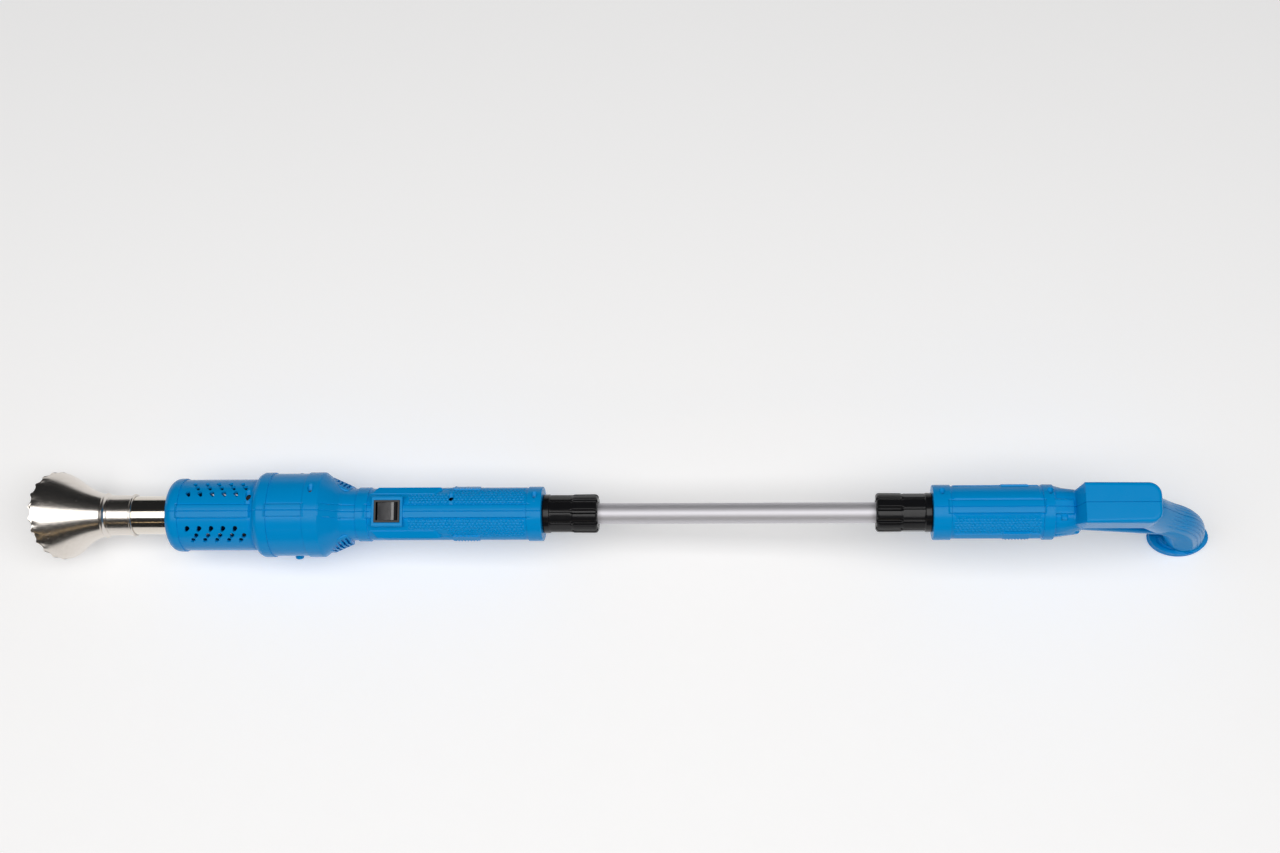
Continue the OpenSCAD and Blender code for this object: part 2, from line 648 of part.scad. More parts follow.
module terminal_block() color("ivory") on_wand() difference() {
    translate([x_bar + 14, -8, bar_bottom + 3]) cube([22, 16, 12]);
    for (side = [1, -1]) translate([x_bar + 19, side * 4, bar_bottom + 9]) cylinder(h = 20, r = 1.6);
}
module handle_leads() color("black") on_wand() {
    z = bar_bottom + 8;
    swept([[pole_back + 3, 0, 0], [pole_back + 12, 0, 0], [x_sleeve_end - 2, 0, 3], [x_bar, 0, 8],
        [x_bar + 6, 0, z - 4], [x_bar + 10, 0, z], [x_bar + 13.8, 0, z]], 2.6);
    swept([[x_bar + 36.2, 0, z], [x_bar + 40, 0, z], [x_bar_end - 18, 0, z - 4],
        [x_bar_end - 10, 0, z - 16], [x_bar_end - 3, 0, z - 29],
        for (i = [1 : 3]) [grip_sections[i][0], 0, grip_sections[i][1]],
        [foot_x + inlet_x + 1.2, 0, 18 - foot_drop]], 2.6);
}

// ---- Foot ----
inlet_x = 10;
inlet_wall = 2.6;
inlet_len = 14;
module foot_cap() color("dodgerblue") on_wand() in_foot() difference() {
    union() {
        linear_extrude(foot_t) polygon(oval(foot_l / 2 - 0.8, foot_w / 2 - 0.8));
        linear_extrude(foot_t / 2) polygon(oval(foot_l / 2, foot_w / 2));
    }
    translate([inlet_x, 0, -1]) cylinder(h = foot_t + 2, r = inlet_r + inlet_wall);
}
module cable_inlet() color("black") on_wand() in_foot() translate([inlet_x, 0, 0.6]) difference() {
    cylinder(h = inlet_len, r = inlet_r + inlet_wall);
    translate([0, 0, -1]) cylinder(h = inlet_len + 2, r = inlet_r);
}

nozzle_bell();
nozzle_neck();
heater_tube();
heater_former();
heating_wire();
mica_sleeve();
thermal_cutout();
air_funnel();
housing_left();
housing_right();
housing_screws();
motor_can();
motor_magnets();
motor_end_cap();
front_bearing();
rear_bearing();
motor_cradle();
motor_shaft();
motor_armature();
motor_commutator();
fan_wheel();
fan_shroud();
control_board();
switch_body();
switch_bezel();
switch_rocker();
head_leads();
lower_button_left();
lower_button_right();
lower_button_springs();
lower_collet();
lower_collar();
lower_wiper();
extension_tube();
tube_bush_front();
tube_bush_rear();
inner_cable();
upper_collar();
upper_wiper();
upper_collet();
upper_button_left();
upper_button_right();
upper_button_springs();
handle_left();
handle_right();
handle_screws();
terminal_block();
handle_leads();
foot_cap();
cable_inlet();
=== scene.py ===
"""Hot-air weed burner on a telescopic wand: the looks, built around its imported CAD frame."""
import sys
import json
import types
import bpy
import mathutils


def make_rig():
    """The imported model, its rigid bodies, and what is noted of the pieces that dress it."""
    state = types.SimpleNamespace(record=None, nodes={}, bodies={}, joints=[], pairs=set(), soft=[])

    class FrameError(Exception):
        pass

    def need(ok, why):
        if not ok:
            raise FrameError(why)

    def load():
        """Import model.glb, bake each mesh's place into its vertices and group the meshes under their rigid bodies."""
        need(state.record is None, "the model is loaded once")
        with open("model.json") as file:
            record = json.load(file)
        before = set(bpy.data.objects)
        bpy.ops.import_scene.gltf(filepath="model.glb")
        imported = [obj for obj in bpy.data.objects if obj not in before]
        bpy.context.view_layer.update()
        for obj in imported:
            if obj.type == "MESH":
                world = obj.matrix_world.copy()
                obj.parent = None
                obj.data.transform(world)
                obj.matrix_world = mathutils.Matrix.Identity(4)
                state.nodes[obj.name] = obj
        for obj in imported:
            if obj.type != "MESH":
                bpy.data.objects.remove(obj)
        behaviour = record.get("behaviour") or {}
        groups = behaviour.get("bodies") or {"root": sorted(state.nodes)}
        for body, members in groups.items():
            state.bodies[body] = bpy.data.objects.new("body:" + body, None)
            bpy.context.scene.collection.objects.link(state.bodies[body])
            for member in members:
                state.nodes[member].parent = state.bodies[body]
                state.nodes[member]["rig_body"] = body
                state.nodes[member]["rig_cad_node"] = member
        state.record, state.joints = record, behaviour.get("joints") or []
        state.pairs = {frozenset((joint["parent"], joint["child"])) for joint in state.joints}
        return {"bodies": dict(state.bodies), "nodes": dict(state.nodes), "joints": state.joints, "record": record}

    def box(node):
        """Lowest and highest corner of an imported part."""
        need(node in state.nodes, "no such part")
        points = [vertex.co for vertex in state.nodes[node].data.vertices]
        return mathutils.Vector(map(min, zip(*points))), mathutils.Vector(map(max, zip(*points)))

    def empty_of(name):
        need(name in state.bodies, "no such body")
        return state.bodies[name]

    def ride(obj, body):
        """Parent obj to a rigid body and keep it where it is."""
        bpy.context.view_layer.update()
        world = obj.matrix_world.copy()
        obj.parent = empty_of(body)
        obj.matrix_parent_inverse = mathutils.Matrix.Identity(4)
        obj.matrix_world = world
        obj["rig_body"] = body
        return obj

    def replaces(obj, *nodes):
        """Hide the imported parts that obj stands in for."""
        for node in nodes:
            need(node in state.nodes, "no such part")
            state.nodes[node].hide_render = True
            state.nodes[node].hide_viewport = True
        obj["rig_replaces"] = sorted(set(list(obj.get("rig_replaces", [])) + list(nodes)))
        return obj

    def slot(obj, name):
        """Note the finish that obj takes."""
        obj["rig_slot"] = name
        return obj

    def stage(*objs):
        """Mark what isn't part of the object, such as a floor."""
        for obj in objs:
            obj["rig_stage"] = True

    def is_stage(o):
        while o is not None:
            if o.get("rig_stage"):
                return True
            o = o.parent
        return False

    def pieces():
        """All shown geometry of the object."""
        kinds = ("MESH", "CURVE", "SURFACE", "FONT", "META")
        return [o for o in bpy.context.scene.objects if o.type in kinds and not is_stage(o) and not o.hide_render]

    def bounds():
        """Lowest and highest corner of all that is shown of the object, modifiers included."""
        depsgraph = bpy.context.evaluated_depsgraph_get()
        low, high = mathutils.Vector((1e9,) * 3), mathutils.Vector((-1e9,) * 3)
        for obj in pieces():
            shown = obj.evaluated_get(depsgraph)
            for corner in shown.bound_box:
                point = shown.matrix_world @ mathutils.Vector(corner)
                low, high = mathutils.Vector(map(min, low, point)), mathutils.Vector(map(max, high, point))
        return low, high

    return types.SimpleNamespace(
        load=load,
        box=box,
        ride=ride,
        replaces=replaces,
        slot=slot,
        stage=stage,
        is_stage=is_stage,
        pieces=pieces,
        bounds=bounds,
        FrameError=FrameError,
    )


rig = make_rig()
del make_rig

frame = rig.load()
CAD_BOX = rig.bounds()

import json
import math

import bmesh
import bpy
import numpy as np
from mathutils import Matrix, Vector

bl_info = {
    "name": "Weed burner wand",
    "version": (1, 0, 0),
    "blender": (4, 5, 0),
    "location": "View3D > Sidebar > Weed burner",
    "description": "Builds the shells, nozzle, collars and handle of a hot-air weed burner",
    "category": "Object",
}

# ---------------------------------------------------------------- places
# Pieces are drawn in millimetres along the wand: x is the distance from the middle of the
# bell's mouth, z is up. Two matrices take them to the row frame, one for the handle and
# one for the head, which is turned a little about the wand.
MM = 0.001
JOINTS = {joint["name"]: joint for joint in frame["joints"]}
AXIS = Vector(JOINTS["handle_turn"]["axis"]).normalized()
ON_AXIS = Vector(JOINTS["handle_turn"]["pos_m"])
HEAD_SIDE = Vector(JOINTS["switch_rock"]["axis"]).normalized()
GUARD_X = 102.7


def reach(node):
    """Lowest and highest station of a CAD node along the wand, in metres from ON_AXIS."""
    stations = [(v.co - ON_AXIS).dot(AXIS) for v in frame["nodes"][node].data.vertices]
    return min(stations), max(stations)


ORIGIN = ON_AXIS + AXIS * (reach("housing_left")[0] - GUARD_X * MM)


def axes_matrix(side):
    """From millimetres along the wand to the row frame, with that direction as +Y."""
    up = AXIS.cross(side)
    columns = Matrix((AXIS, side, up)).transposed().to_4x4()
    return Matrix.Translation(ORIGIN) @ columns @ Matrix.Scale(MM, 4)


ON_WAND = axes_matrix(Vector((0, 1, 0)))
IN_HEAD = axes_matrix(HEAD_SIDE)


def span(node):
    """Lowest and highest station of a CAD node, in millimetres from the bell's mouth."""
    shift = (ORIGIN - ON_AXIS).dot(AXIS)
    return tuple((s - shift) / MM for s in reach(node))


NECK_END = span("nozzle_neck")[1]
LOWER = span("lower_collar")
UPPER = span("upper_collar")
SLEEVE_X = UPPER[1] + 0.3
FOOT_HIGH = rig.box("foot_cap")[1]


# ---------------------------------------------------------------- meshes
def finish_mesh(mesh, sharp=32):
    """Smooth shading, broken at edges sharper than that angle in degrees."""
    mesh.shade_smooth()
    mesh.set_sharp_from_angle(angle=math.radians(sharp))


def closed_mesh(name, verts, faces):
    """A mesh from vertices and faces, with its faces turned outward."""
    mesh = bpy.data.meshes.new(name)
    mesh.from_pydata([tuple(v) for v in verts], [], [tuple(f) for f in faces])
    bm = bmesh.new()
    bm.from_mesh(mesh)
    bmesh.ops.recalc_face_normals(bm, faces=bm.faces[:])
    bm.to_mesh(mesh)
    bm.free()
    return mesh


def linked(name, data):
    """A new object in the scene for a mesh, a light or a camera."""
    obj = bpy.data.objects.new(name, data)
    bpy.context.scene.collection.objects.link(obj)
    return obj


def new_piece(name, verts, faces, place, body, slot, replaces=(), sharp=32, look_of=None):
    """A closed mesh, drawn in millimetres and put in place, that rides on a body."""
    mesh = closed_mesh(name, verts, faces)
    mesh.transform(place)
    finish_mesh(mesh, sharp)
    obj = linked(name, mesh)
    dress(obj, body, slot, look_of)
    if replaces:
        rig.replaces(obj, *replaces)
    return obj


def dress(obj, body, slot, look_of=None):
    """Ties a piece to its body and gives it its slot's finish, or another one by name."""
    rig.ride(obj, body)
    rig.slot(obj, slot)
    obj.data.materials.clear()
    obj.data.materials.append(finish(look_of or slot))


def bake(obj):
    """Applies the modifiers of a piece."""
    bpy.context.view_layer.update()
    graph = bpy.context.evaluated_depsgraph_get()
    mesh = bpy.data.meshes.new_from_object(obj.evaluated_get(graph))
    obj.modifiers.clear()
    obj.data = mesh
    finish_mesh(mesh)


def bevel(obj, width, segments=2, angle=35):
    """Rounds the sharp edges of a piece, by a width in millimetres."""
    mod = obj.modifiers.new("edges", "BEVEL")
    mod.width = width * MM
    mod.segments = segments
    mod.limit_method = "ANGLE"
    mod.angle_limit = math.radians(angle)
    mod.harden_normals = False


def cut(obj, parts, place):
    """Takes closed parts, each a pair of vertices and faces, out of a piece."""
    tool = closed_mesh("cutter", *joined(parts))
    tool.transform(place)
    cutter = linked("cutter", tool)
    mod = obj.modifiers.new("cut", "BOOLEAN")
    mod.operation = "DIFFERENCE"
    mod.solver = "EXACT"
    mod.object = cutter
    bake(obj)
    bpy.data.objects.remove(cutter)
    bpy.data.meshes.remove(tool)


def joined(parts):
    """Several pairs of vertices and faces as one pair."""
    verts, faces = [], []
    for part_verts, part_faces in parts:
        base = len(verts)
        verts.extend(part_verts)
        faces.extend([[base + k for k in f] for f in part_faces])
    return verts, faces


def prism(outline, low, high, to_point):
    """A closed prism over an outline; to_point(u, v, h) gives each corner."""
    n = len(outline)
    verts = [to_point(u, v, h) for h in (low, high) for u, v in outline]
    faces = [[k, (k + 1) % n, n + (k + 1) % n, n + k] for k in range(n)]
    faces += [list(range(n - 1, -1, -1)), [n + k for k in range(n)]]
    return verts, faces


def oval(a, b, n, mid=0.0):
    """Points round an ellipse of those half lengths."""
    return [(mid + a * math.cos(2 * math.pi * k / n), b * math.sin(2 * math.pi * k / n)) for k in range(n)]


def skin(rows, around):
    """Faces of a closed skin over rows of points, with a cap at both ends."""
    faces = [[i * around + k, i * around + (k + 1) % around, (i + 1) * around + (k + 1) % around,
              (i + 1) * around + k] for i in range(rows - 1) for k in range(around)]
    return faces + [list(range(around)), [(rows - 1) * around + k for k in range(around)]]


def ring_faces(n):
    """Faces of a ring whose low and high end each have two outlines of n points."""
    return [[a * n + k, a * n + (k + 1) % n, b * n + (k + 1) % n, b * n + k]
            for k in range(n) for a, b in ((0, 1), (1, 3), (3, 2), (2, 0))]


def hand(side):
    """Name of the half on that side of the seam."""
    return "right" if side > 0 else "left"


def full_turn(around):
    """That many angles, in degrees, round the whole circle."""
    return [360 * k / around for k in range(around)]


def block(x, y, z):
    """A box from three pairs of limits."""
    outline = [(x[0], y[0]), (x[1], y[0]), (x[1], y[1]), (x[0], y[1])]
    return prism(outline, z[0], z[1], lambda u, v, h: (u, v, h))


def hull(points):
    """The convex hull of points, as a pair of vertices and faces."""
    bm = bmesh.new()
    for p in points:
        bm.verts.new(p)
    bmesh.ops.convex_hull(bm, input=bm.verts[:])
    loose = [v for v in bm.verts if not v.link_faces]
    bmesh.ops.delete(bm, geom=loose, context="VERTS")
    bm.verts.index_update()
    verts = [tuple(v.co) for v in bm.verts]
    faces = [[v.index for v in f.verts] for f in bm.faces]
    bm.free()
    return verts, faces


def fillet(path, radius, steps=3):
    """An open path with its corners rounded by that radius, or less on short stretches."""
    out = [path[0]]
    for before, here, after in zip(path, path[1:], path[2:]):
        a, b, c = Vector(before), Vector(here), Vector(after)
        room = min((a - b).length, (c - b).length) * 0.45
        reach_in = min(radius, room)
        start = b + (a - b).normalized() * reach_in
        end = b + (c - b).normalized() * reach_in
        for i in range(steps + 1):
            t = i / steps
            out.append(tuple(start * (1 - t) ** 2 + b * 2 * t * (1 - t) + end * t * t))
    out.append(path[-1])
    return out


def split_up(path, step):
    """An open path with points added, so that none are further apart than step."""
    out = [path[0]]
    for a, b in zip(path, path[1:]):
        count = max(1, math.ceil(math.dist(a, b) / step))
        for i in range(1, count + 1):
            out.append(tuple(a[k] + (b[k] - a[k]) * i / count for k in (0, 1)))
    return out


def steps_between(marks, step):
    """Numbers that go through every mark, no further apart than step."""
    out = [marks[0]]
    for a, b in zip(marks, marks[1:]):
        count = max(1, math.ceil((b - a) / step))
        out.extend(a + (b - a) * i / count for i in range(1, count + 1))
    return out


def smooth_step(low, high, value):
    """0 below low, 1 above high, and an even curve between."""
    t = np.clip((value - low) / (high - low), 0, 1)
    return t * t * (3 - 2 * t)


def bump_between(low, high, soft, value):
    """1 between low and high, 0 outside, with soft edges."""
    return smooth_step(low - soft, low + soft, value) * (1 - smooth_step(high - soft, high + soft, value))


def revolve(outer, inner, angles, relief=None, closed=False):
    """A closed outline turned about the wand's axis. Angles, in degrees, run from the top
    towards +Y. relief(x, r, angle) is added to the radius of the outer path's points."""
    x = np.array([p[0] for p in outer + inner], float)
    r = np.array([p[1] for p in outer + inner], float)
    count = len(x)
    grid = np.repeat(r[None, :], len(angles), 0)
    turn = np.array(angles, float)[:, None]
    if relief is not None:
        xs, ts = np.broadcast_arrays(x[None, :len(outer)], turn)
        grid[:, :len(outer)] += relief(xs, grid[:, :len(outer)], ts)
    rad = np.radians(turn)
    verts = np.stack([np.broadcast_to(x, grid.shape), grid * np.sin(rad), grid * np.cos(rad)], -1)
    rows = len(angles)
    faces = []
    for j in range(rows if closed else rows - 1):
        a, b = j * count, ((j + 1) % rows) * count
        faces.extend([a + i, a + (i + 1) % count, b + (i + 1) % count, b + i] for i in range(count))
    if not closed:
        faces.append(list(range(count)))
        faces.append([(rows - 1) * count + i for i in range(count - 1, -1, -1)])
    return verts.reshape(-1, 3).tolist(), faces


def half_turn(side, marks, step):
    """Angles of one half, from the top seam to the bottom one, through the marks."""
    return [side * a for a in steps_between([0] + list(marks) + [180], step)]


# ---------------------------------------------------------------- shader maths
class Wire:
    """A value that flows through a material's nodes; arithmetic on it adds Math nodes."""

    def __init__(self, tree, socket):
        self.tree = tree
        self.socket = socket

    def _math(self, operation, first, second):
        node = self.tree.nodes.new("ShaderNodeMath")
        node.operation = operation
        for socket, value in zip(node.inputs, (first, second)):
            if isinstance(value, Wire):
                self.tree.links.new(value.socket, socket)
            else:
                socket.default_value = value
        return Wire(self.tree, node.outputs[0])

    def __add__(self, other):
        return self._math("ADD", self, other)

    def __radd__(self, other):
        return self._math("ADD", other, self)

    def __mul__(self, other):
        return self._math("MULTIPLY", self, other)

    def __rmul__(self, other):
        return self._math("MULTIPLY", other, self)


class Finish:
    """A material being made: its nodes, and the shader at its end."""

    def __init__(self, name):
        self.material = bpy.data.materials.new(name)
        self.material.use_nodes = True
        self.tree = self.material.node_tree
        self.shader = self.tree.nodes["Principled BSDF"]

    def node(self, kind, settings=None, output=0, **sockets):
        """Adds a node: its settings first, then the values or links of its sockets."""
        node = self.tree.nodes.new(kind)
        for key, value in (settings or {}).items():
            setattr(node, key, value)
        for key, value in sockets.items():
            socket = node.inputs[int(key[1:])] if key[0] == "i" and key[1:].isdigit() else node.inputs[key]
            self.feed(socket, value)
        return Wire(self.tree, node.outputs[output])

    def feed(self, socket, value):
        if isinstance(value, Wire):
            self.tree.links.new(value.socket, socket)
        else:
            socket.default_value = value

    def place(self, stretch=(1, 1, 1)):
        """Coordinates in metres that run along the wand, scaled by stretch."""
        tilt = math.atan2(AXIS.z, AXIS.x)
        coords = self.node("ShaderNodeTexCoord", output=3)
        return self.node("ShaderNodeMapping", {"vector_type": "POINT"}, Vector=coords,
                         Rotation=(0, tilt, 0), Scale=stretch)

    def noise(self, scale, detail=3, stretch=(1, 1, 1)):
        return self.node("ShaderNodeTexNoise", Vector=self.place(stretch), Scale=scale, Detail=detail)

    def mix(self, factor, first, second):
        """Two colours mixed by a factor."""
        return self.node("ShaderNodeMix", {"data_type": "RGBA"}, output=2, i0=factor,
                         i6=(*first, 1), i7=(*second, 1))

    def set(self, **values):
        """Sets the shader's own sockets; an underscore stands for a space."""
        for key, value in values.items():
            self.feed(self.shader.inputs[key.replace("_", " ")], value)

    def bumps(self, *heights):
        """Layers of (height, depth in millimetres)."""
        normal = None
        for height, depth in heights:
            extra = {"Normal": normal} if normal is not None else {}
            normal = self.node("ShaderNodeBump", Strength=1.0, Distance=depth * MM, Height=height, **extra)
        self.set(Normal=normal)


FINISHES = {}


def finish(slot):
    """The material of a record slot, made once."""
    if slot not in FINISHES:
        FINISHES[slot] = globals()["make_" + slot](bpy.context.scene.weed_burner)
    return FINISHES[slot]


def moulded(name, colour, rough, grain_depth, lighter=0.25, shine=0.5):
    """Moulded plastic: a fine spark-eroded grain and faint flow marks."""
    f = Finish(name)
    grain = f.noise(2600, 2)
    cloud = f.noise(38, 3)
    f.set(Base_Color=f.mix(cloud * 0.9, colour, [min(1, c * (1 + lighter)) for c in colour]),
          Roughness=f.noise(120, 2) * 0.12 + (rough - 0.06),
          IOR=1.5, Specular_IOR_Level=shine)
    f.bumps((grain, grain_depth), (f.noise(70, 2), 0.05))
    return f.material


def make_blue_plastic(look):
    return moulded("blue_plastic", tuple(look.body_colour), 0.24, 0.015, lighter=0.04, shine=0.13)


def make_black_plastic(look):
    return moulded("black_plastic", tuple(look.trim_colour), 0.2, 0.012, lighter=0.5, shine=0.3)


def make_grey_plastic(look):
    return moulded("grey_plastic", (0.09, 0.09, 0.1), 0.5, 0.03)


def make_switch_plastic(look):
    return moulded("switch_plastic", (0.03, 0.03, 0.034), 0.1, 0.004, lighter=0.3, shine=1.0)


def make_nozzle_metal(look):
    """Polished nickel with faint lengthwise polishing marks and a straw heat tint."""
    f = Finish("nozzle_metal")
    marks = f.noise(900, 4, (0.04, 1, 1))
    smear = f.noise(60, 3, (0.15, 1, 1))
    tint = f.mix(f.noise(9, 2) * 0.8, tuple(look.metal_colour), (0.72, 0.64, 0.52))
    f.set(Base_Color=tint, Metallic=1.0, Roughness=smear * 0.16 + 0.045)
    f.bumps((marks, 0.006), (f.noise(24, 2), 0.12))
    return f.material


def make_brushed_nickel(look):
    """The nozzle's metal where it was spun: softer, with marks along its length."""
    f = Finish("brushed_nickel")
    marks = f.noise(700, 4, (0.05, 1, 1))
    f.set(Base_Color=f.mix(marks, tuple(look.metal_colour), (0.70, 0.64, 0.58)), Metallic=1.0,
          Roughness=marks * 0.2 + 0.13)
    f.bumps((marks, 0.012), (f.noise(24, 2), 0.1))
    return f.material


def make_tube_aluminium(look):
    """Satin anodised tube with a drawn grain along its length."""
    f = Finish("tube_aluminium")
    drawn = f.noise(1500, 4, (0.02, 1, 1))
    f.set(Base_Color=f.mix(drawn, (0.66, 0.65, 0.69), (0.76, 0.75, 0.79)), Metallic=0.7,
          Roughness=drawn * 0.1 + 0.5)
    f.bumps((drawn, 0.01))
    return f.material


def speckled(name, speckle, dark, pale, metallic, grain, spread, rough):
    """Plain stock in two close shades, with an uneven sheen."""
    f = Finish(name)
    f.set(Base_Color=f.mix(f.noise(speckle, 3), dark, pale), Metallic=metallic,
          Roughness=f.noise(grain, 2) * spread + rough)
    return f.material


def make_bright_steel(look):
    return speckled("bright_steel", 300, (0.5, 0.5, 0.5), (0.66, 0.65, 0.63), 1.0, 800, 0.15, 0.25)


def make_bronze(look):
    return speckled("bronze", 900, (0.42, 0.27, 0.11), (0.56, 0.38, 0.17), 1.0, 1800, 0.2, 0.35)


def make_copper(look):
    f = Finish("copper")
    winding = f.node("ShaderNodeTexWave", {"bands_direction": "X"}, Vector=f.place(), Scale=900.0, output=1)
    f.set(Base_Color=f.mix(winding, (0.35, 0.13, 0.05), (0.72, 0.33, 0.16)), Metallic=0.9,
          Roughness=f.noise(500, 2) * 0.2 + 0.3)
    f.bumps((winding, 0.1))
    return f.material


def make_magnet(look):
    return speckled("magnet", 700, (0.04, 0.04, 0.045), (0.08, 0.08, 0.085), 0.4, 1500, 0.2, 0.4)


def make_ceramic(look):
    f = Finish("ceramic")
    f.set(Base_Color=f.mix(f.noise(160, 4), (0.72, 0.67, 0.55), (0.84, 0.80, 0.72)),
          Roughness=f.noise(900, 2) * 0.2 + 0.6)
    f.bumps((f.noise(1500, 3), 0.05))
    return f.material


def make_board(look):
    f = Finish("board")
    tracks = f.node("ShaderNodeTexVoronoi", {"distance": "CHEBYCHEV"}, Vector=f.place(), Scale=420.0)
    f.set(Base_Color=f.mix(tracks, (0.02, 0.13, 0.05), (0.05, 0.26, 0.10)), Roughness=tracks * 0.2 + 0.3)
    f.bumps((tracks, 0.03))
    return f.material


def make_cable_rubber(look):
    f = Finish("cable_rubber")
    f.set(Base_Color=f.mix(f.noise(200, 3), (0.015, 0.015, 0.016), (0.035, 0.035, 0.036)),
          Roughness=f.noise(900, 2) * 0.2 + 0.5)
    f.bumps((f.noise(1800, 3), 0.02))
    return f.material


# ---------------------------------------------------------------- shapes of the pieces
WALL = 2.5
RING_RISE = 1.1
SEAM_GROOVE = 0.5
GUARD_R, GUARD_END = 32.1, 184.7
HOUSE_R, HOUSE_END = 37.2, 243.9
CONE_END, GRIP_X, GRIP_END = 260.4, 275.0, 442.0
GRIP_R = 23.3
BAND_HALF = 5.65
SWITCH_X = 304.5
WINDOW = (23.2, 19.9)
SCREW_R = 2.7
PIT_FLOOR = 7.8
WELL_FLOOR, WELL_TOP, WELL_WALL = 6, 9, 1.4
BUTTON_X = (373.8, 858.0)
SCALE_LENGTH, SCALE_WIDTH, SCALE_HEIGHT = 3.3, 2.7, 0.85
LUG_X, LUG_TURN = 217.3, 110
PAD_INSET_X, PAD_INSET_Z = 1.5, 1.2
BORE_R = 14.2
VENT_LOW, VENT_HIGH, VENT_PITCH = 24, 40, 10.9
FINE_STEP, PLAIN_STEP = 0.6, 1.5
LENS, SENSOR = 50, 36


def seam_relief(x, r, t, panels):
    """The raised band along the top and bottom seams, and the fine groove in its middle."""
    turn = np.abs(t)
    from_seam = np.radians(np.minimum(turn, 180 - turn)) * r
    on_band = 1 - smooth_step(BAND_HALF - 0.25, BAND_HALF + 0.25, from_seam)
    lift = np.zeros_like(r)
    for low, high in panels:
        lift = np.maximum(lift, on_band * bump_between(low, high, 0.3, x))
    edge = np.zeros_like(r)
    for low, high in panels:
        edge = np.maximum(edge, np.exp(-((from_seam - BAND_HALF - 0.75) / 0.4) ** 2)
                          * bump_between(low, high, 0.3, x))
    out = lift * (RING_RISE - 0.1) - 0.5 * edge
    return out - SEAM_GROOVE * (1 - smooth_step(0.05, 0.5, from_seam))


def scales(x, r, t, x_span, t_span):
    """Staggered grip scales over a stretch of a panel."""
    arc = np.radians(np.abs(t)) * r
    row = np.floor(arc / SCALE_WIDTH)
    u = (x / SCALE_LENGTH + 0.5 * np.mod(row, 2)) % 1.0
    v = (arc / SCALE_WIDTH) % 1.0
    dome = np.clip(1 - ((u - 0.5) / 0.42) ** 2 - ((v - 0.5) / 0.46) ** 2, 0, 1) ** 0.6
    inside = bump_between(*x_span, 0.6, x) * bump_between(*t_span, 0.6, np.abs(t))
    return dome * inside * SCALE_HEIGHT - 0.2 * inside


def flat_strip(r, t, low, high, lift):
    """Rise that turns a stretch of a round panel into one flat strip, proud by lift."""
    middle = np.radians((low + high) / 2)
    across_it = np.cos(np.radians(np.abs(t)) - middle)
    return ((r + lift) / np.maximum(across_it, 0.5) - r) * bump_between(low, high, 0.7, np.abs(t))


def marks_near(r):
    """Angles that the top seam band's edges need, for a panel of that radius."""
    edge = math.degrees(BAND_HALF / r)
    fine = math.degrees(0.5 / r)
    return [fine, 2.2 * fine, edge - fine, edge + fine, edge + 1.7 * fine, edge + 3 * fine]


def marks_far(r):
    """The same angles at the bottom seam."""
    return [180 - a for a in reversed(marks_near(r))]


def teardrop(length, wide, narrow, lean):
    """Outline of a vent: two round ends of different size, leaning in its plane."""
    points = []
    for k in range(8):
        a = math.radians(180 * k / 7)
        points.append((wide * math.cos(a), length / 2 - wide + wide * math.sin(a)))
    for k in range(8):
        a = math.radians(180 + 180 * k / 7)
        points.append((narrow * math.cos(a), -length / 2 + narrow + narrow * math.sin(a)))
    c, s = math.cos(math.radians(lean)), math.sin(math.radians(lean))
    return [(c * u - s * v, s * u + c * v) for u, v in points]


def radial(x, angle, outline, low, high):
    """A prism that stands on the axis at a station and an angle from the top."""
    a = math.radians(angle)

    def to_point(u, v, h):
        return (x + u, h * math.sin(a) + v * math.cos(a), h * math.cos(a) - v * math.sin(a))

    return prism(outline, low, high, to_point)


def across(x, z, low, high, r, sides=20):
    """A cylinder along Y."""
    return prism(oval(r, r, sides), low, high, lambda u, v, h: (x + u, h, z + v))


def screw_sites(node):
    """Station and height of each screw, from the CAD node that holds them all."""
    place = (IN_HEAD if node == "housing_screws" else ON_WAND).inverted()
    mesh = frame["nodes"][node].data
    points = np.array([tuple(place @ v.co) for v in mesh.vertices])
    seats = points[points[:, 1] > points[:, 1].max() - 0.1]
    sites = []
    for p in seats:
        for s in sites:
            if math.dist(s[0], (p[0], p[2])) < 6:
                s[1].append(p)
                break
        else:
            sites.append(((p[0], p[2]), [p]))
    return [tuple(np.mean(s[1], 0)[[0, 2]]) for s in sites]


def screw_wells(side, node, surface_r):
    """Round pits through the shell over the screws, and short tubes deeper in, on the side they enter."""
    if side < 0:
        return [], []
    wells, pits = [], []
    for x, z in screw_sites(node):
        rim = math.sqrt(max(surface_r(x) ** 2 - z * z, 40)) - 0.5
        pits.append(across(x, z, PIT_FLOOR, rim + 12, SCREW_R))
        wells.append(tube_across(x, z, WELL_FLOOR, WELL_TOP, SCREW_R, SCREW_R + WELL_WALL))
    return pits, wells


def tube_across(x, z, low, high, r_in, r_out, sides=20):
    """An open-ended tube along Y."""
    verts = [(x + u, h, z + v) for h in (low, high) for r in (r_in, r_out) for u, v in oval(r, r, sides)]
    return verts, ring_faces(sides)


# ---------------------------------------------------------------- nozzle
def bell_radius(x, bell_len, rim_r, neck_r):
    """Radius of the bell at a station: wide at the mouth, easing into the neck."""
    t = np.clip(x / bell_len, 0, 1)
    return neck_r + (rim_r - neck_r) * (1 + np.cos(np.pi * t ** 0.72)) / 2


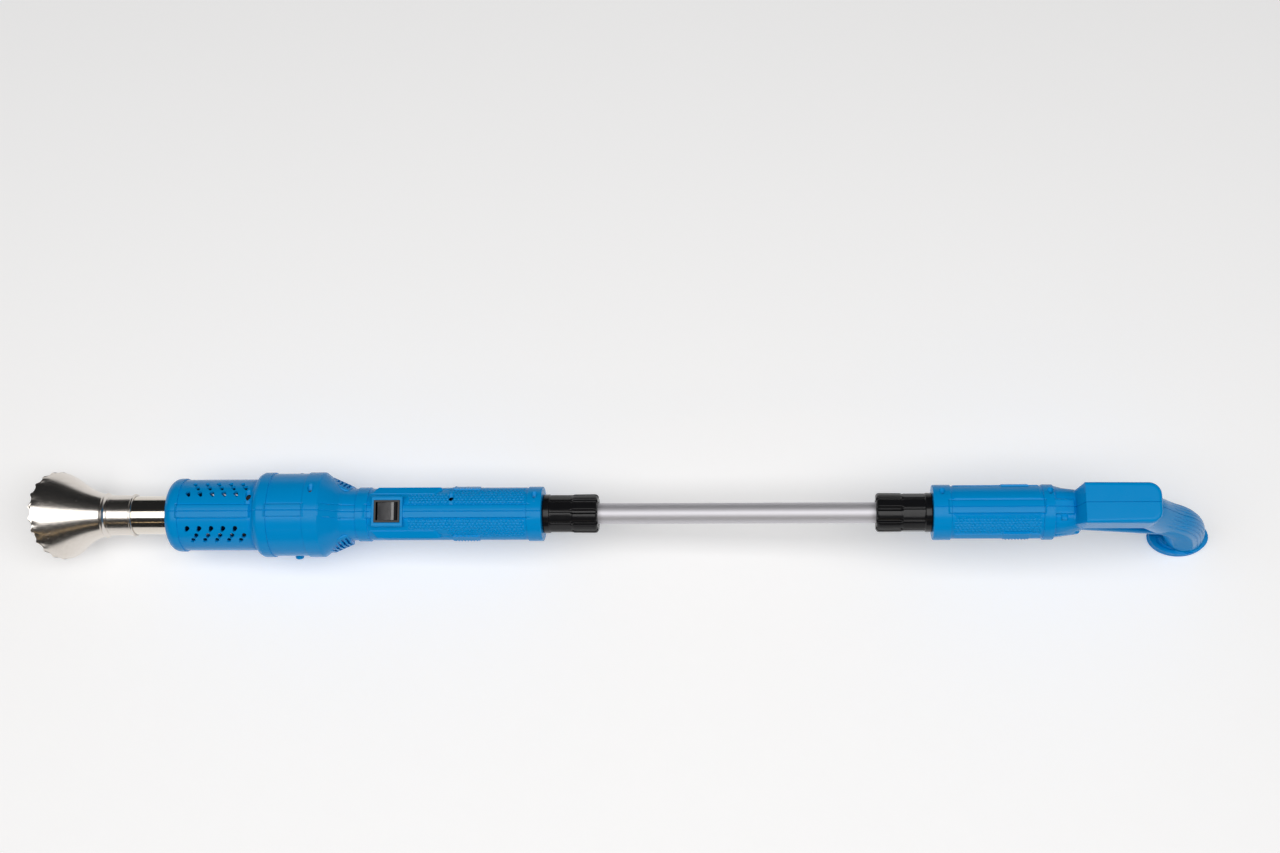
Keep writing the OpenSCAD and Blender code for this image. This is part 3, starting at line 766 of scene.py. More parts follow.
def build_nozzle(look):
    """The flared bell with its scalloped rim, and the neck that slides over the heater tube."""
    neck_len, neck_r = 19, 18.35
    bell_len = NECK_END - neck_len
    rim_r, lean = 39.3, 0.39
    wall = 0.8
    ring_x, crease_x = 42, 44.4
    bead_x = NECK_END - 2.6
    xs = steps_between([0, 8, 39, 46, bell_len, bead_x], 0.6)
    outer = [(x, float(bell_radius(x, bell_len, rim_r, neck_r))) for x in xs]
    roll = [(-0.2, rim_r + 0.35), (-0.75, rim_r + 0.3), (-1.0, rim_r - 0.3), (-0.7, rim_r - 0.85)]
    bead = [(bead_x + 1.3 * (1 - math.cos(a)), neck_r - 0.1 + 1.35 * math.sin(a))
            for a in np.linspace(0.1, math.pi, 11)]
    inner = [(NECK_END - 0.05, neck_r - wall + 0.05), (bell_len, neck_r - wall + 0.02)]
    inner += [(x, r - wall) for x, r in reversed(outer) if x < bell_len - 1]
    path = list(reversed(roll)) + outer + bead
    angles = full_turn(264)
    lobes = look.scallops

    def ring_bead(x, r, t):
        return 1.5 * np.exp(-((x - ring_x) / 1.1) ** 2) - 1.1 * np.exp(-(x - crease_x) ** 2)

    verts, faces = revolve(path, inner, angles, ring_bead, closed=True)
    v = np.array(verts)
    radius = np.hypot(v[:, 1], v[:, 2])
    turn = np.arctan2(v[:, 1], v[:, 2])
    near_rim = np.clip(1 - v[:, 0] / 5, 0, 1) ** 1.6
    wave = np.cos(lobes * turn)
    grow = 1 + near_rim * (0.35 * wave) / radius
    shear = lean * np.clip(1 - v[:, 0] / bell_len, 0, 1.02) ** 1.6
    v[:, 1] *= grow
    v[:, 2] *= grow
    v[:, 0] += -v[:, 2] * shear - near_rim ** 2 * (0.8 * wave + 0.3 * np.cos(2 * lobes * turn))
    new_piece("bell", v.tolist(), faces, ON_WAND, "nozzle", "nozzle_metal",
              ("nozzle_bell", "nozzle_neck"), sharp=50, look_of="brushed_nickel")


# ---------------------------------------------------------------- head shells
def guard_outline():
    """Outer and inner outline of the guard, the motor housing and the cone."""
    r = GUARD_R + RING_RISE
    nose = [(GUARD_X + 9 - 9 * math.cos(a), r - 9 + 9 * math.sin(a)) for a in np.linspace(0, math.pi / 2, 12)]
    lip = [(GUARD_X + 2.2, 18.4), (GUARD_X + 0.4, 18.9), (GUARD_X, 19.8)]
    front = lip + [(GUARD_X, 22)] + nose
    steps = [(GUARD_X + 13.4, r), (GUARD_X + 13.4, GUARD_R), (GUARD_END, GUARD_R),
             (GUARD_END + 0.2, HOUSE_R + RING_RISE - 4.6), (GUARD_END + 1.4, HOUSE_R + RING_RISE - 1.8),
             (GUARD_END + 4.8, HOUSE_R + RING_RISE), (GUARD_END + 13.4, HOUSE_R + RING_RISE),
             (GUARD_END + 13.4, HOUSE_R), (HOUSE_END - 13.4, HOUSE_R),
             (HOUSE_END - 13.4, HOUSE_R + RING_RISE), (HOUSE_END, HOUSE_R + RING_RISE),
             (CONE_END, GRIP_R + 1.7), (CONE_END + 3, GRIP_R + 0.2), (GRIP_X, GRIP_R)]
    outer = front[:-1] + fillet([front[-1]] + steps, 0.7, 3)
    inner = [(GRIP_X, GRIP_R - WALL), (CONE_END, GRIP_R - WALL), (HOUSE_END - 1, HOUSE_R - WALL),
             (GUARD_END + 6.4, HOUSE_R - WALL), (GUARD_END + 1.5, GUARD_R - WALL),
             (GUARD_X + 10, GUARD_R - WALL), (GUARD_X + WALL, GUARD_R - 8), (GUARD_X + WALL, 18.4)]
    return split_up(outer, PLAIN_STEP), inner


def guard_relief(x, r, t):
    """Relief of the guard and motor housing: the seam band and the step behind the guard."""
    out = seam_relief(x, r, t, [(GUARD_X + 12, GUARD_END - 3), (GUARD_END + 12, HOUSE_END - 12),
                                (HOUSE_END + 1, GRIP_X + 2)])
    sunk = bump_between(GUARD_END - 3.2, GUARD_END - 1.6, 0.4, x)
    return out - 0.6 * sunk


def vent_prisms(side):
    """Cutters for the guard's vents: three rows above and three below, five vents in each."""
    rows = ((29.5, 0.0, 1.0), (42.0, 7.4, 0.95), (51.5, 3.8, 0.95))
    prisms = []
    for up in (1, -1):
        for angle, shift, size in rows:
            for k in range(5):
                turn = side * (angle if up > 0 else 180 - angle)
                lean = side * up * 28
                outline = teardrop(6.4 * size, 2.15 * size, 1.2 * size, lean)
                prisms.append(radial(GUARD_X + 22 + shift + VENT_PITCH * k, turn, outline,
                                     VENT_LOW, VENT_HIGH))
    return prisms


def build_housing(side):
    """One half of the head: guard, motor housing and cone, and the grip behind them."""
    name = hand(side)
    node = "housing_" + name
    outer, inner = guard_outline()
    marks = marks_near(GUARD_R) + marks_far(GUARD_R)
    verts, faces = revolve(outer, inner, half_turn(side, marks, 2.2), guard_relief)
    front = new_piece("guard_and_motor_housing_" + name, verts, faces, IN_HEAD, "head",
                      "blue_plastic", (node,))

    def surface(x):
        if x < GUARD_END:
            return GUARD_R
        return HOUSE_R + RING_RISE if x < CONE_END else GRIP_R + RING_RISE

    pits, wells = screw_wells(side, "housing_screws", surface)
    ahead = [p for p in pits if p[0][0][0] < GRIP_X]
    cut(front, vent_prisms(side) + ahead, IN_HEAD)
    build_front_grip(side, [p for p in pits if p[0][0][0] > GRIP_X])
    if wells:
        new_piece("screw_wells_" + name, *joined(wells), IN_HEAD, "head", "blue_plastic")


def grip_relief(x, r, t):
    """Relief of the grip on the head: the band, the scales and the raised side strip."""
    turn = np.abs(t)
    out = seam_relief(x, r, t, [(GRIP_X + 9, GRIP_END - 11)])
    slant = x + 0.35 * (60 - turn)
    ledge = (r + 0.2) / np.cos(np.radians(turn.clip(45, 62) - 36)) - r
    strip = bump_between(293, 351, 0.8, slant) * bump_between(45, 62, 0.7, turn) * ledge
    lower = bump_between(293, 357, 1.2, slant) * bump_between(63.5, 84, 1.0, turn)
    panel_low = bump_between(360, GRIP_END - 14.5, 0.8, x) * flat_strip(r, t, 65, 80, 0.35)
    tab = bump_between(BUTTON_X[0] - 12, BUTTON_X[0] + 12, 0.6, x) * flat_strip(r, t, 60, 80, 1.1)
    out = out + strip + 0.5 * lower + np.maximum(panel_low, tab)
    out = out + scales(x, r, t, (323, 427), (15.5, 42.5))
    out = out + scales(x, r, t, (358, 427), (42.5, 62))
    ridge = bump_between(302, 428, 0.5, x) * bump_between(42.6, 44.0, 0.35, turn)
    return out + 0.25 * ridge * (1 - smooth_step(352, 358, x))


def textured_turn(side, last):
    """Angles of a half turn on a round grip, close together where its texture lies."""
    near = [0] + marks_near(GRIP_R)
    angles = steps_between(near, 2.5) + steps_between([near[-1], last], 1.45)[1:]
    angles += steps_between([last] + marks_far(GRIP_R) + [180], 3.0)[1:]
    return [side * a for a in angles]


def finely_split(path, low, high):
    """An outline in short steps between two stations, where texture lies, and longer ones beyond."""
    out = []
    for a, b in zip(path, path[1:]):
        step = FINE_STEP if low < (a[0] + b[0]) / 2 < high else PLAIN_STEP
        out += split_up([a, b], step)[:-1]
    return out + [path[-1]]


def build_front_grip(side, pits):
    """One half of the head's grip, with the switch window and the button's slot cut through."""
    name = hand(side)
    r = GRIP_R + RING_RISE
    path = [(GRIP_X, GRIP_R - 1), (GRIP_X, r), (GRIP_X + 11, r), (GRIP_X + 11, GRIP_R),
            (GRIP_END - 13, GRIP_R), (GRIP_END - 13, r), (GRIP_END, r), (GRIP_END, BORE_R)]
    outer = finely_split(fillet(path, 0.8), GRIP_X + 20, GRIP_END - 13.5)
    inner = [(GRIP_END - 13, BORE_R), (GRIP_END - 13, GRIP_R - WALL), (GRIP_X, GRIP_R - WALL)]
    verts, faces = revolve(outer, inner, textured_turn(side, 64), grip_relief)
    grip = new_piece("front_grip_" + name, verts, faces, IN_HEAD, "head", "blue_plastic")
    window = block((SWITCH_X - WINDOW[0] / 2, SWITCH_X + WINDOW[0] / 2),
                   (-WINDOW[1] / 2, WINDOW[1] / 2), (8, 40))
    slot = button_slot("lower_button_" + name)
    cut(grip, [window, slot] + pits, IN_HEAD)


def button_slot(node):
    """The window that a side button slides in, from the button's own place."""
    low, high = button_box(node)
    clear = 0.3
    reach_out = (low[1] - 1, high[1] + 8) if high[1] > 0 else (low[1] - 8, high[1] + 1)
    return block((low[0] + PAD_INSET_X - clear, high[0] - PAD_INSET_X + clear), reach_out,
                 (low[2] + PAD_INSET_Z - clear, high[2] - PAD_INSET_Z + clear))


def place_of(node):
    """Where a node of either end sits: in the head, or on the wand."""
    return IN_HEAD if node.startswith("lower") else ON_WAND


def button_box(node):
    """Lowest and highest corner of a button along the wand, in millimetres."""
    place = place_of(node).inverted()
    points = np.array([tuple(place @ v.co) for v in frame["nodes"][node].data.vertices])
    return points.min(0), points.max(0)


def build_scoop(side):
    """Air scoop on the side of the cone, with louvres in its slanting face."""
    name = hand(side)
    r = HOUSE_R + RING_RISE
    top, low = 13, -13
    slope = 6
    outline = [(HOUSE_END - 5, side * (r - 8)), (HOUSE_END + 2, side * (r - 4.6)),
               (HOUSE_END + 7, side * (r - 5)), (CONE_END + 7.5, side * (GRIP_R + 2.6)),
               (CONE_END + 7.5, side * (GRIP_R - 4)), (HOUSE_END - 5, side * (GRIP_R - 4))]
    verts, faces = hull([(u, v, low) for u, v in outline] + [(u, v, 3) for u, v in outline]
                        + [(u, v - side * slope * (abs(v) > GRIP_R), top) for u, v in outline])
    scoop = new_piece("air_scoop_" + name, verts, faces, IN_HEAD, "head", "blue_plastic")
    bevel(scoop, 1.3, 3)
    bake(scoop)
    slots = []
    start = Vector((HOUSE_END + 7, r - 5))
    run = Vector((CONE_END + 7.5, GRIP_R + 2.6)) - start
    out = Vector((-run.y, run.x)).normalized()
    count = 5
    for k in range(count):
        mid = start + run * (k + 0.6) / count
        half = run.normalized() * run.length / count * 0.27
        a, b = mid - half, mid + half
        corners = [a + out * 3, b + out * 3, b - out * 6.5, a - out * 6.5]
        slots.append(prism([(c.x, side * c.y) for c in corners], low + 2.4, top - 2.4,
                           lambda u, v, h: (u, v, h)))
    cut(scoop, slots, IN_HEAD)


def build_lug(side):
    """A small hanging lug low on the side of the motor housing."""
    name = hand(side)
    profile = [(3.9, -2.5), (3.9, 3.4), (3.5, 4.4), (2.6, 5.0), (0.9, 5.1)]
    n = 28
    a = math.radians(side * LUG_TURN)
    verts = []
    for radius, h in profile:
        reach_out = HOUSE_R + h - 1.0
        verts += [(LUG_X + u, reach_out * math.sin(a) + v * math.cos(a),
                   reach_out * math.cos(a) - v * math.sin(a)) for u, v in oval(radius, radius, n)]
    new_piece("hanging_lug_" + name, verts, skin(len(profile), n), IN_HEAD, "head", "blue_plastic")


# ---------------------------------------------------------------- switch and buttons
def build_switch_frame():
    """The raised frame round the switch window, moulded on the seam."""
    outer = (WINDOW[0] + 5.2, WINDOW[1] + 7.2)
    corners = ((-1, -1), (1, -1), (1, 1), (-1, 1))
    verts = [(SWITCH_X + sx * w / 2, sy * d / 2, z) for z in (18.0, GRIP_R + 2.0)
             for w, d in (outer, WINDOW) for sx, sy in corners]
    piece = new_piece("switch_frame", verts, ring_faces(4), IN_HEAD, "head", "blue_plastic")
    bevel(piece, 0.8, 3)
    bake(piece)


def build_side_button(node, body):
    """A side button: a pad with rounded teeth across it, over the flange that holds it in."""
    low, high = button_box(node)
    side = 1 if high[1] > 0 else -1
    face = max(abs(low[1]), abs(high[1]))
    x0, x1 = low[0] + PAD_INSET_X, high[0] - PAD_INSET_X
    z0, z1 = low[2] + PAD_INSET_Z, high[2] - PAD_INSET_Z
    teeth = 8
    xs = np.linspace(x0, x1, teeth * 8 + 1)
    depth = face - 0.85 * (0.5 - 0.5 * np.cos(2 * np.pi * teeth * (xs - x0) / (x1 - x0))) ** 0.8
    depth[0] = depth[-1] = face - 1.6
    rows = [(z0, -1.2), (z0 + 0.35, -0.35), (z0 + 1.0, 0.0), (z1 - 1.0, 0.0), (z1 - 0.35, -0.35), (z1, -1.2)]
    verts = [(x, side * (d + drop), z) for z, drop in rows for x, d in zip(xs, depth)]
    n = len(xs)
    faces = [[i * n + k, i * n + k + 1, (i + 1) * n + k + 1, (i + 1) * n + k]
             for i in range(len(rows) - 1) for k in range(n - 1)]
    base = len(verts)
    back = side * (face - 5.5)
    verts += [(x0, back, z0), (x1, back, z0), (x1, back, z1), (x0, back, z1)]
    last = (len(rows) - 1) * n
    faces += [[base, base + 1] + list(range(n - 1, -1, -1)),
              [base + 3, base + 2] + [last + k for k in range(n - 1, -1, -1)],
              [base, base + 3] + [i * n for i in range(len(rows) - 1, -1, -1)],
              [base + 1, base + 2] + [i * n + n - 1 for i in range(len(rows) - 1, -1, -1)],
              [base, base + 1, base + 2, base + 3]]
    pad = (verts, faces)
    inner_y = sorted((side * (face - 6.4), side * (face - 5.2)))
    flange = block((low[0], high[0]), inner_y, (low[2], high[2]))
    new_piece("side_button_" + node.replace("_button", ""), *joined([pad, flange]), place_of(node), body,
              "blue_plastic", (node,), sharp=40)


# ---------------------------------------------------------------- collars
def build_collar(node, body, nose_x, foot_x):
    """A clamping collar: a plain ring at its foot, panels, and ten lobes towards its nose."""
    way = 1 if nose_x > foot_x else -1
    length = abs(nose_x - foot_x)
    outer = [(0, 15.2), (0, 17.4), (5.6, 17.4), (6.3, 16.7), (length - 24, 16.7), (length - 22, 16.7),
             (length - 3, 16.9), (length - 1.2, 16.4), (length, 14.8), (length, 11.2)]
    outer = split_up(fillet(outer, 0.6, 3), 0.9)
    inner = [(length - 0.6, 9.7), (length - 2, 9.7), (length - 2, 11.4), (length - 5, 11.5),
             (length * 0.55, 14.4), (0, 14.4)]
    count = 10
    sector = 360 / count

    def relief(x, r, t):
        phase = np.abs((t % sector) - sector / 2)
        arc = np.radians(sector / 2 - phase) * r
        nose_part = smooth_step(length - 23.2, length - 21.2, x)
        body_part = bump_between(6.6, length - 23.5, 0.5, x)
        panel = -0.45 * (1 - smooth_step(0.5, 1.0, arc)) * body_part
        lobe = 0.5 * nose_part
        valley = -2.4 * (1 - smooth_step(0.9, 2.2, arc)) * smooth_step(length - 24.5, length - 20.5, x)
        flat = -0.15 * np.cos(np.radians(phase * 360 / sector)) * body_part
        return (panel + lobe + valley + flat) * (1 - smooth_step(length - 0.2, length + 0.1, x) * 0.6)

    verts, faces = revolve(outer, inner, full_turn(320), relief, closed=True)
    verts = [(foot_x + way * x, y, z) for x, y, z in verts]
    new_piece(node.replace("_collar", "_clamping_collar"), verts, faces, place_of(node), body,
              "black_plastic", (node,), sharp=60)


# ---------------------------------------------------------------- handle
SLEEVE_END = SLEEVE_X + 104.5
BAR_X = SLEEVE_END + 22.9
BAR_END = BAR_X + 65.1
BAR_TOP, BAR_LOW, BAR_W = 40.0, 13.0, 36.0
FOOT_CENTRE = ON_WAND.inverted() @ Vector((0, 0, 0))
FOOT_TILT = math.atan2(AXIS.z, AXIS.x)


def sleeve_relief(side):
    """Relief of the sleeve: scales on the left, smooth on the right, a ridge under both."""
    def relief(x, r, t):
        turn = np.abs(t)
        out = seam_relief(x, r, t, [(SLEEVE_X + 13, SLEEVE_END - 8)])
        panel = (SLEEVE_X + 18, SLEEVE_END - 12)
        ridge = bump_between(*panel, 0.5, x) * flat_strip(r, t, 65, 82, 0.6)
        tab = bump_between(BUTTON_X[1] - 12, BUTTON_X[1] + 12, 0.6, x) * flat_strip(r, t, 61, 82, 1.2)
        out = out + np.maximum(ridge, tab)
        if side < 0:
            out = out + scales(x, r, t, panel, (22, 63))
            out = out + 0.35 * bump_between(*panel, 0.5, x) * bump_between(16.2, 20.5, 0.6, turn)
        else:
            out = out + 0.4 * bump_between(*panel, 0.5, x) * bump_between(19, 62, 0.8, turn)
        return out
    return relief


def build_sleeve(side):
    """One half of the handle's round sleeve."""
    name = hand(side)
    r = GRIP_R + RING_RISE
    path = [(SLEEVE_X, 14.2), (SLEEVE_X, r), (SLEEVE_X + 15.6, r), (SLEEVE_X + 15.6, GRIP_R),
            (SLEEVE_END - 9.5, GRIP_R), (SLEEVE_END - 9.5, r), (SLEEVE_END, r), (SLEEVE_END, GRIP_R - 2)]
    outer = finely_split(fillet(path, 0.9), SLEEVE_X + 16.5, SLEEVE_END - 10)
    inner = [(SLEEVE_END, GRIP_R - WALL), (SLEEVE_X + 13, GRIP_R - WALL), (SLEEVE_X + 13, 14.2)]
    verts, faces = revolve(outer, inner, textured_turn(side, 66), sleeve_relief(side))
    sleeve = new_piece("handle_sleeve_" + name, verts, faces, ON_WAND, "handle", "blue_plastic",
                       ("handle_" + name,))
    pits, wells = screw_wells(side, "handle_screws", lambda x: r)
    cut(sleeve, [button_slot("upper_button_" + name)] + pits, ON_WAND)
    if wells:
        new_piece("handle_screw_wells", *joined(wells), ON_WAND, "handle", "blue_plastic")


def rounded_rect(x, y_half, z_low, z_high, radius, n=5):
    """Points of a rounded rectangle across the wand."""
    points = []
    for cy, cz, start in ((y_half - radius, z_high - radius, 0), (-y_half + radius, z_high - radius, 90),
                          (-y_half + radius, z_low + radius, 180), (y_half - radius, z_low + radius, 270)):
        for k in range(n + 1):
            a = math.radians(start + 90 * k / n)
            points.append((x, cy + radius * math.cos(a), cz + radius * math.sin(a)))
    return points


def circle_points(x, r, n=48):
    """Points of a circle across the wand."""
    return [(x, y, z) for y, z in oval(r, r, n)]


def foot_point(u, v, h):
    """A point given along, across and above the foot's underside, in wand millimetres."""
    c, s = math.cos(FOOT_TILT), math.sin(FOOT_TILT)
    return (FOOT_CENTRE.x + u * c + h * s, v, FOOT_CENTRE.z - u * s + h * c)


# Station and height of the pistol grip's middle, its half length and width, and its tilt
GRIP_SECTIONS = [(BAR_END - 13, 19, 17, 14.5, 0), (BAR_END - 2, -2, 17.5, 14.5, 26),
                 (BAR_END + 13, -24, 18, 14.5, 37), (BAR_END + 28, -42, 18.3, 14.5, 38),
                 (FOOT_CENTRE.x - 5, -62, 18.6, 14.5, 27), (FOOT_CENTRE.x + 1, -85, 18.8, 14.6, 12),
                 (FOOT_CENTRE.x + 6, -107, 18, 15, -4)]


def grip_loft(rows=44, around=72):
    """The pistol grip as a smooth run of ovals from the bar down to the foot flange."""
    ts = np.linspace(0, 1, rows)

    def curve(values):
        """Catmull-Rom curve through the values."""
        v = np.array([2 * values[0] - values[1]] + list(values) + [2 * values[-1] - values[-2]])
        out = []
        for t in ts:
            f = min(t * (len(values) - 1), len(values) - 1 - 1e-9)
            i, u = int(f), f - int(f)
            p0, p1, p2, p3 = v[i:i + 4]
            out.append(0.5 * (2 * p1 + (p2 - p0) * u + (2 * p0 - 5 * p1 + 4 * p2 - p3) * u * u
                              + (3 * p1 - p0 - 3 * p2 + p3) * u ** 3))
        return np.array(out)

    xs, zs, a_half, b_half, tilt = (curve([s[k] for s in GRIP_SECTIONS]) for k in range(5))
    tilt = np.radians(tilt)
    verts = []
    for x, z, a, b, w in zip(xs, zs, a_half, b_half, tilt):
        verts += [(x + u * math.cos(w), v, z + u * math.sin(w)) for u, v in oval(a, b, around)]
    return verts, skin(rows, around), (xs, zs, a_half, b_half, tilt)


def handle_parts():
    """The closed parts that the handle's bar, grip, guard strut and foot flange are made of."""
    neck = hull(circle_points(SLEEVE_END - 1.5, GRIP_R - 1.0) + circle_points(BAR_X - 8, GRIP_R - 3.4)
                + rounded_rect(BAR_X + 2, BAR_W / 2 - 2, -19, 20, 7))
    rise = hull(rounded_rect(BAR_X - 6, BAR_W / 2 - 3, 0, 19.5, 3)
                + rounded_rect(BAR_X + 0.5, BAR_W / 2, 4, BAR_TOP, 2.6)
                + rounded_rect(BAR_X + 0.5, BAR_W / 2 - 2.5, -12, BAR_TOP - 12, 5))
    key = hull(rounded_rect(SLEEVE_END - 1, 6.5, 10, GRIP_R + 0.9, 1)
               + rounded_rect(BAR_X - 7, 6.5, 10, GRIP_R - 0.2, 1))
    peg = hull(rounded_rect(SLEEVE_END + 5, 2.2, 10, 22, 0.8)
               + rounded_rect(SLEEVE_END + 9.5, 2.2, 10, 22, 0.8))
    peg = ([(x, y - 9.4, z) for x, y, z in peg[0]], peg[1])
    rail_ends = ((SLEEVE_END - 2, -2), (SLEEVE_END - 2, 6), (BAR_X, -7), (BAR_X, -1))
    rails = [hull([(x, side * y, z) for x, z in rail_ends for y in (12, 23 if x < BAR_X else 18.5)])
             for side in (1, -1)]
    corner_r = 11
    rear = []
    for z, inset in ((BAR_LOW + 1, 1.2), (BAR_LOW + 3, 0), (BAR_TOP - 3.6, 0), (BAR_TOP - 1.0, 1.0),
                     (BAR_TOP, 3.2)):
        for sy in (1, -1):
            for k in range(13):
                a = math.radians(90 * k / 12)
                u, v = (corner_r - inset) * math.cos(a), (corner_r - inset) * math.sin(a)
                rear.append((BAR_END - corner_r + u, sy * (BAR_W / 2 - corner_r + v), z))
    bar = hull(rounded_rect(BAR_X, BAR_W / 2, BAR_LOW, BAR_TOP, 2.6) + rear)
    strut = hull(rounded_rect(BAR_X - 7, 12, -20, -10.5, 4) + rounded_rect(BAR_X + 2, 11.5, -23.5, -14, 4)
                 + rounded_rect(BAR_END + 28, 7, -71, -61, 4))
    flange = prism(oval(27.6, 17.8, 96), 6.2, 9.0, foot_point)
    loft = grip_loft()
    return [neck, rise, key, peg, bar, strut, flange, loft[:2]] + rails, loft[2]


def weld_voxels(parts, voxel, smooth):
    """Overlapping closed parts welded into one skin, with small fillets where they meet."""
    obj = linked("weld", closed_mesh("weld", *joined(parts)))
    mod = obj.modifiers.new("weld", "REMESH")
    mod.mode = "VOXEL"
    mod.voxel_size = voxel
    mod.adaptivity = 0
    soften = obj.modifiers.new("soften", "SMOOTH")
    soften.factor = 0.5
    soften.iterations = smooth
    bake(obj)
    out = obj.data
    bpy.data.objects.remove(obj)
    return out


def grip_details(mesh, loft):
    """Grooves along the grip's back, fine ribs on its sides, and crescents and slots sunk in the foot flange's top."""
    xs, zs, a_half, b_half, tilt = loft
    count = len(mesh.vertices)
    co = np.empty(count * 3)
    mesh.vertices.foreach_get("co", co)
    co = co.reshape(-1, 3)
    normals = np.empty(count * 3)
    mesh.vertex_normals.foreach_get("vector", normals)
    normals = normals.reshape(-1, 3)
    centre = np.stack([xs, zs], 1)
    dist = ((co[:, None, [0, 2]] - centre[None]) ** 2).sum(2)
    near = dist.argmin(1)
    along = near / (len(xs) - 1)
    rel = co[:, [0, 2]] - centre[near]
    u = rel[:, 0] * np.cos(tilt[near]) + rel[:, 1] * np.sin(tilt[near])
    phi = np.degrees(np.arctan2(co[:, 1] / b_half[near], u / a_half[near]))
    on_grip = smooth_step(0.2, 0.26, along) * (1 - smooth_step(0.93, 0.96, along))
    on_grip *= (np.hypot(u / a_half[near], co[:, 1] / b_half[near]) < 1.12)
    push = np.zeros(count)
    for centre_phi in (-52, -39, -26, -13, 13, 26, 39, 52):
        groove = np.exp(-((phi - centre_phi) / 2.0) ** 2)
        push -= 0.7 * groove * on_grip
    length = co[:, 2] * 1.06
    ribs = 0.5 + 0.5 * np.cos(2 * np.pi * length / 2.9)
    flank = bump_between(68, 122, 2.5, np.abs(phi)) * on_grip * smooth_step(0.3, 0.34, along)
    push += flank * (0.5 * ribs - 0.3)
    on_foot = (co[:, 2] < zs[-1] + 3.5) & (normals[:, 2] > 0.6)
    fu = co[:, 0] - FOOT_CENTRE.x
    oval = np.hypot(fu / 27.8, co[:, 1] / 18)
    way_round = np.degrees(np.arctan2(np.abs(co[:, 1]) / 18, fu / 27.8))
    crescent = bump_between(0.62, 0.76, 0.03, oval) * bump_between(98, 172, 3, way_round)
    bowed = np.abs(co[:, 1]) + 0.12 * np.abs(fu - 17)
    slot = bump_between(16.2, 17.4, 0.3, bowed) * bump_between(6, 24, 1, fu)
    push -= 1.5 * np.maximum(crescent, slot) * on_foot
    co += normals * push[:, None]
    mesh.vertices.foreach_set("co", co.ravel())


def half_of(mesh, side, name):
    """One closed half of a mesh, cut down the seam, with the seam's edge eased."""
    bm = bmesh.new()
    bm.from_mesh(mesh)
    geom = bm.verts[:] + bm.edges[:] + bm.faces[:]
    made = bmesh.ops.bisect_plane(bm, geom=geom, dist=1e-4, plane_co=(0, 0, 0), plane_no=(0, -side, 0),
                                  clear_outer=True)
    rim_edges = [e for e in made["geom_cut"] if isinstance(e, bmesh.types.BMEdge)]
    bm.normal_update()
    rim = {v for e in rim_edges for v in e.verts}
    for v in rim:
        v.co -= v.normal * SEAM_GROOVE
        v.co.y = 0
    bmesh.ops.triangle_fill(bm, use_beauty=True, edges=rim_edges)
    bmesh.ops.recalc_face_normals(bm, faces=bm.faces[:])
    out = bpy.data.meshes.new(name)
    bm.to_mesh(out)
    bm.free()
    return out


def build_pistol_grip(look):
    """Bar, pistol grip, guard strut and foot flange, welded and split down the seam."""
    parts, loft = handle_parts()
    whole = weld_voxels(parts, look.voxel / MM, 3)
    grip_details(whole, loft)
    for side, name in ((1, "right"), (-1, "left")):
        mesh = half_of(whole, side, "pistol_grip_" + name)
        mesh.transform(ON_WAND)
        finish_mesh(mesh, sharp=42)
        dress(linked("pistol_grip_" + name, mesh), "handle", "blue_plastic")
    bpy.data.meshes.remove(whole)


def build_foot_cap():
    """The oval foot cap with its rim band, and the lead's inlet through it."""
    n = 128
    a, b = FOOT_HIGH.x / MM, FOOT_HIGH.y / MM
    profile = [(0.0, 1.4), (0.5, 0.35), (1.2, 0.0), (2.9, 0.0), (3.1, 0.55), (3.4, 0.7),
               (5.5, 0.7), (6.0, 0.95), (6.15, 1.6)]
    verts = [foot_point(u, v, h) for h, inset in profile for u, v in oval(a - inset, b - inset, n)]
    cap = new_piece("foot_rim", verts, skin(len(profile), n), ON_WAND, "handle", "blue_plastic",
                    ("foot_cap",))
    low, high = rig.box("cable_inlet")
    mid = (low + high) / 2
    hole_r = (high.y - low.y) / 2 / MM + 0.02
    hole = oval(hole_r, hole_r, 40, mid.x / MM)
    cut(cap, [prism(hole, -2, 8, foot_point)], ON_WAND)


